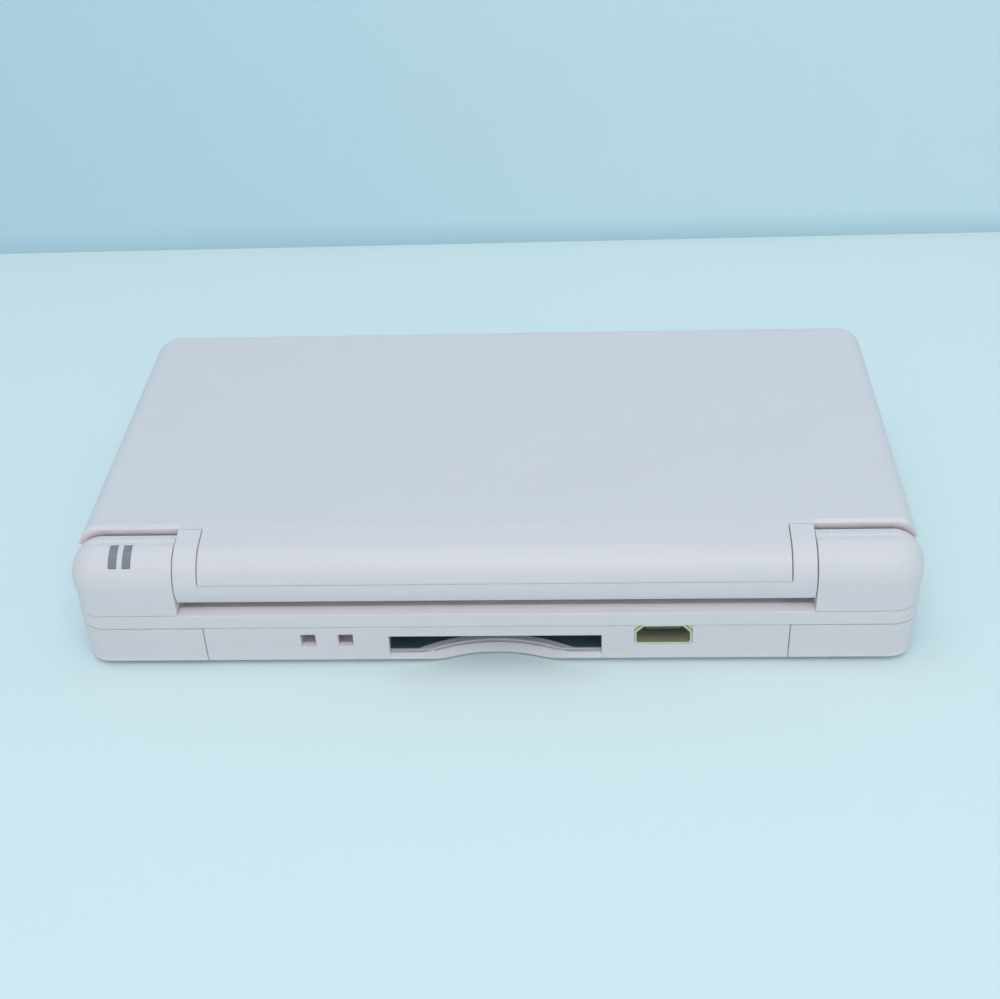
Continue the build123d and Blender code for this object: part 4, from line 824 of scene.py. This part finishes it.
def makePortPins(spec):
    # gold contacts lie side by side on the tongue, their top edges rounded
    low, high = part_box("charge_port_tongue")
    piece = startPiece("portPin", bpy.ops.mesh.primitive_cube_add, size=1)
    bpy.ops.mesh.select_all(action="SELECT")
    bpy.ops.transform.resize(value=(spec["width"], spec["length"], 2 * spec["thickness"]))
    pickFacing(piece, 1)
    bpy.ops.mesh.bevel(
        offset=spec["thickness"] * spec["rounding"], segments=spec["roundingSteps"], affect="EDGES"
    )
    bpy.ops.object.mode_set(mode="OBJECT")
    firstX = (low[0] + high[0]) / 2 - (spec["count"] - 1) / 2 * spec["pitch"]
    centreY = high[1] - spec["setback"] - spec["length"] / 2
    row = copiesAt(piece, [(firstX + i * spec["pitch"], centreY, high[2]) for i in range(spec["count"])])
    settle(row, "portPins", gold, "base")


makePortPins(pins)
print("port contacts modelled")

# The lid's two front corners in the CAD's own sizes. The CAD cavities have square corners, which leave no
# wall inside the rounded ones, so both shells get these corners again at their full wall.
corners = {
    "radius": 4.5 * mm,
    "topRound": 3.0 * mm,
    "wall": 1.3 * mm,
    "parting": 16.3 * mm,  # the height at which the two shells meet
    "seam": 0.1 * mm,
    "floor": 13.0 * mm,  # the inner shell's corners start at this height, inside its floor plate
    "reach": 5.6 * mm,  # how far a corner's block goes along each side
    "sink": 0.01 * mm,  # how far it stays under the lid's own skin
    "overshoot": 1.0 * mm,  # how far a cut runs past an open end
    "cornerSteps": 20,
    "roundSteps": 14,
    "near": 0.01 * mm,
    "weld": 0.001 * mm,
}


def cornerBlock(side, inset, reach, bottom, top, topRound, spec):
    # a block in the lid's front corner, this far in from its skin, and rounded as the corner is
    low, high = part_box("lid_inner_shell")
    near = spec["near"]
    outerX = side * (high[0] - inset)
    innerX = outerX - side * reach
    frontY = low[1] + inset
    rearY = frontY + reach
    block = startPiece("cornerBlock", bpy.ops.mesh.primitive_cube_add, size=1)
    bpy.ops.mesh.select_all(action="SELECT")
    bpy.ops.transform.resize(value=(reach, reach, top - bottom))
    bpy.ops.transform.translate(value=(outerX - side * reach / 2, frontY + reach / 2, (top + bottom) / 2))

    def onCorner(spot):
        return abs(spot.x - outerX) < near and abs(spot.y - frontY) < near

    def onTopRim(spot):
        onInnerSide = abs(spot.x - innerX) < near and spot.y > frontY + near
        onRearSide = abs(spot.y - rearY) < near and abs(spot.x - outerX) > near
        return spot.z > top - near and not onInnerSide and not onRearSide

    pickEdges(block, onCorner)
    bpy.ops.mesh.bevel(offset=spec["radius"] - inset, segments=spec["cornerSteps"], affect="EDGES")
    if topRound:
        pickEdges(block, onTopRim)
        bpy.ops.mesh.bevel(offset=topRound, segments=spec["roundSteps"], affect="EDGES")
    bpy.ops.object.mode_set(mode="OBJECT")
    return block


def closeCorners(node, name, material, bottom, top, topRound, spec):
    # the node's own shell with its two front corners brought up to the full wall
    shell = bpy.data.objects.new(name, nodes[node].data.copy())
    bpy.context.scene.collection.objects.link(shell)
    selectOnly([shell])
    bpy.ops.object.mode_set(mode="EDIT")
    bpy.ops.mesh.select_all(action="SELECT")
    bpy.ops.mesh.remove_doubles(threshold=spec["weld"])
    bpy.ops.object.mode_set(mode="OBJECT")
    hollowTop = top - spec["wall"] if topRound else top + spec["overshoot"]
    for side in (1, -1):
        wall = cornerBlock(side, spec["sink"], spec["reach"], bottom, top - spec["sink"], topRound, spec)
        hollow = cornerBlock(
            side, spec["wall"] - spec["sink"], 2 * spec["reach"], bottom - spec["overshoot"],
            hollowTop, max(0, topRound - spec["wall"]), spec,
        )
        combine(wall, hollow, "DIFFERENCE")
        combine(shell, wall, "UNION")
    bpy.ops.mesh.customdata_custom_splitnormals_clear()
    settle(shell, name, material, "lid")
    # large faces stay flat in the shading, right up to their rounded edges
    even = shell.modifiers.new("even", "WEIGHTED_NORMAL")
    even.keep_sharp = True
    bpy.ops.object.modifier_apply(modifier="even")
    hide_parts(node)


def makeLidShells(spec):
    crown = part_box("lid_outer_shell")[1][2]
    underSeam = spec["parting"] - spec["seam"]
    closeCorners(
        "lid_outer_shell", "lidOuterShell", outerAbs, spec["parting"], crown, spec["topRound"], spec
    )
    closeCorners(
        "lid_inner_shell", "lidInnerShell", innerAbs, spec["floor"], underSeam, 0, spec
    )


makeLidShells(corners)
print("lid corners closed")
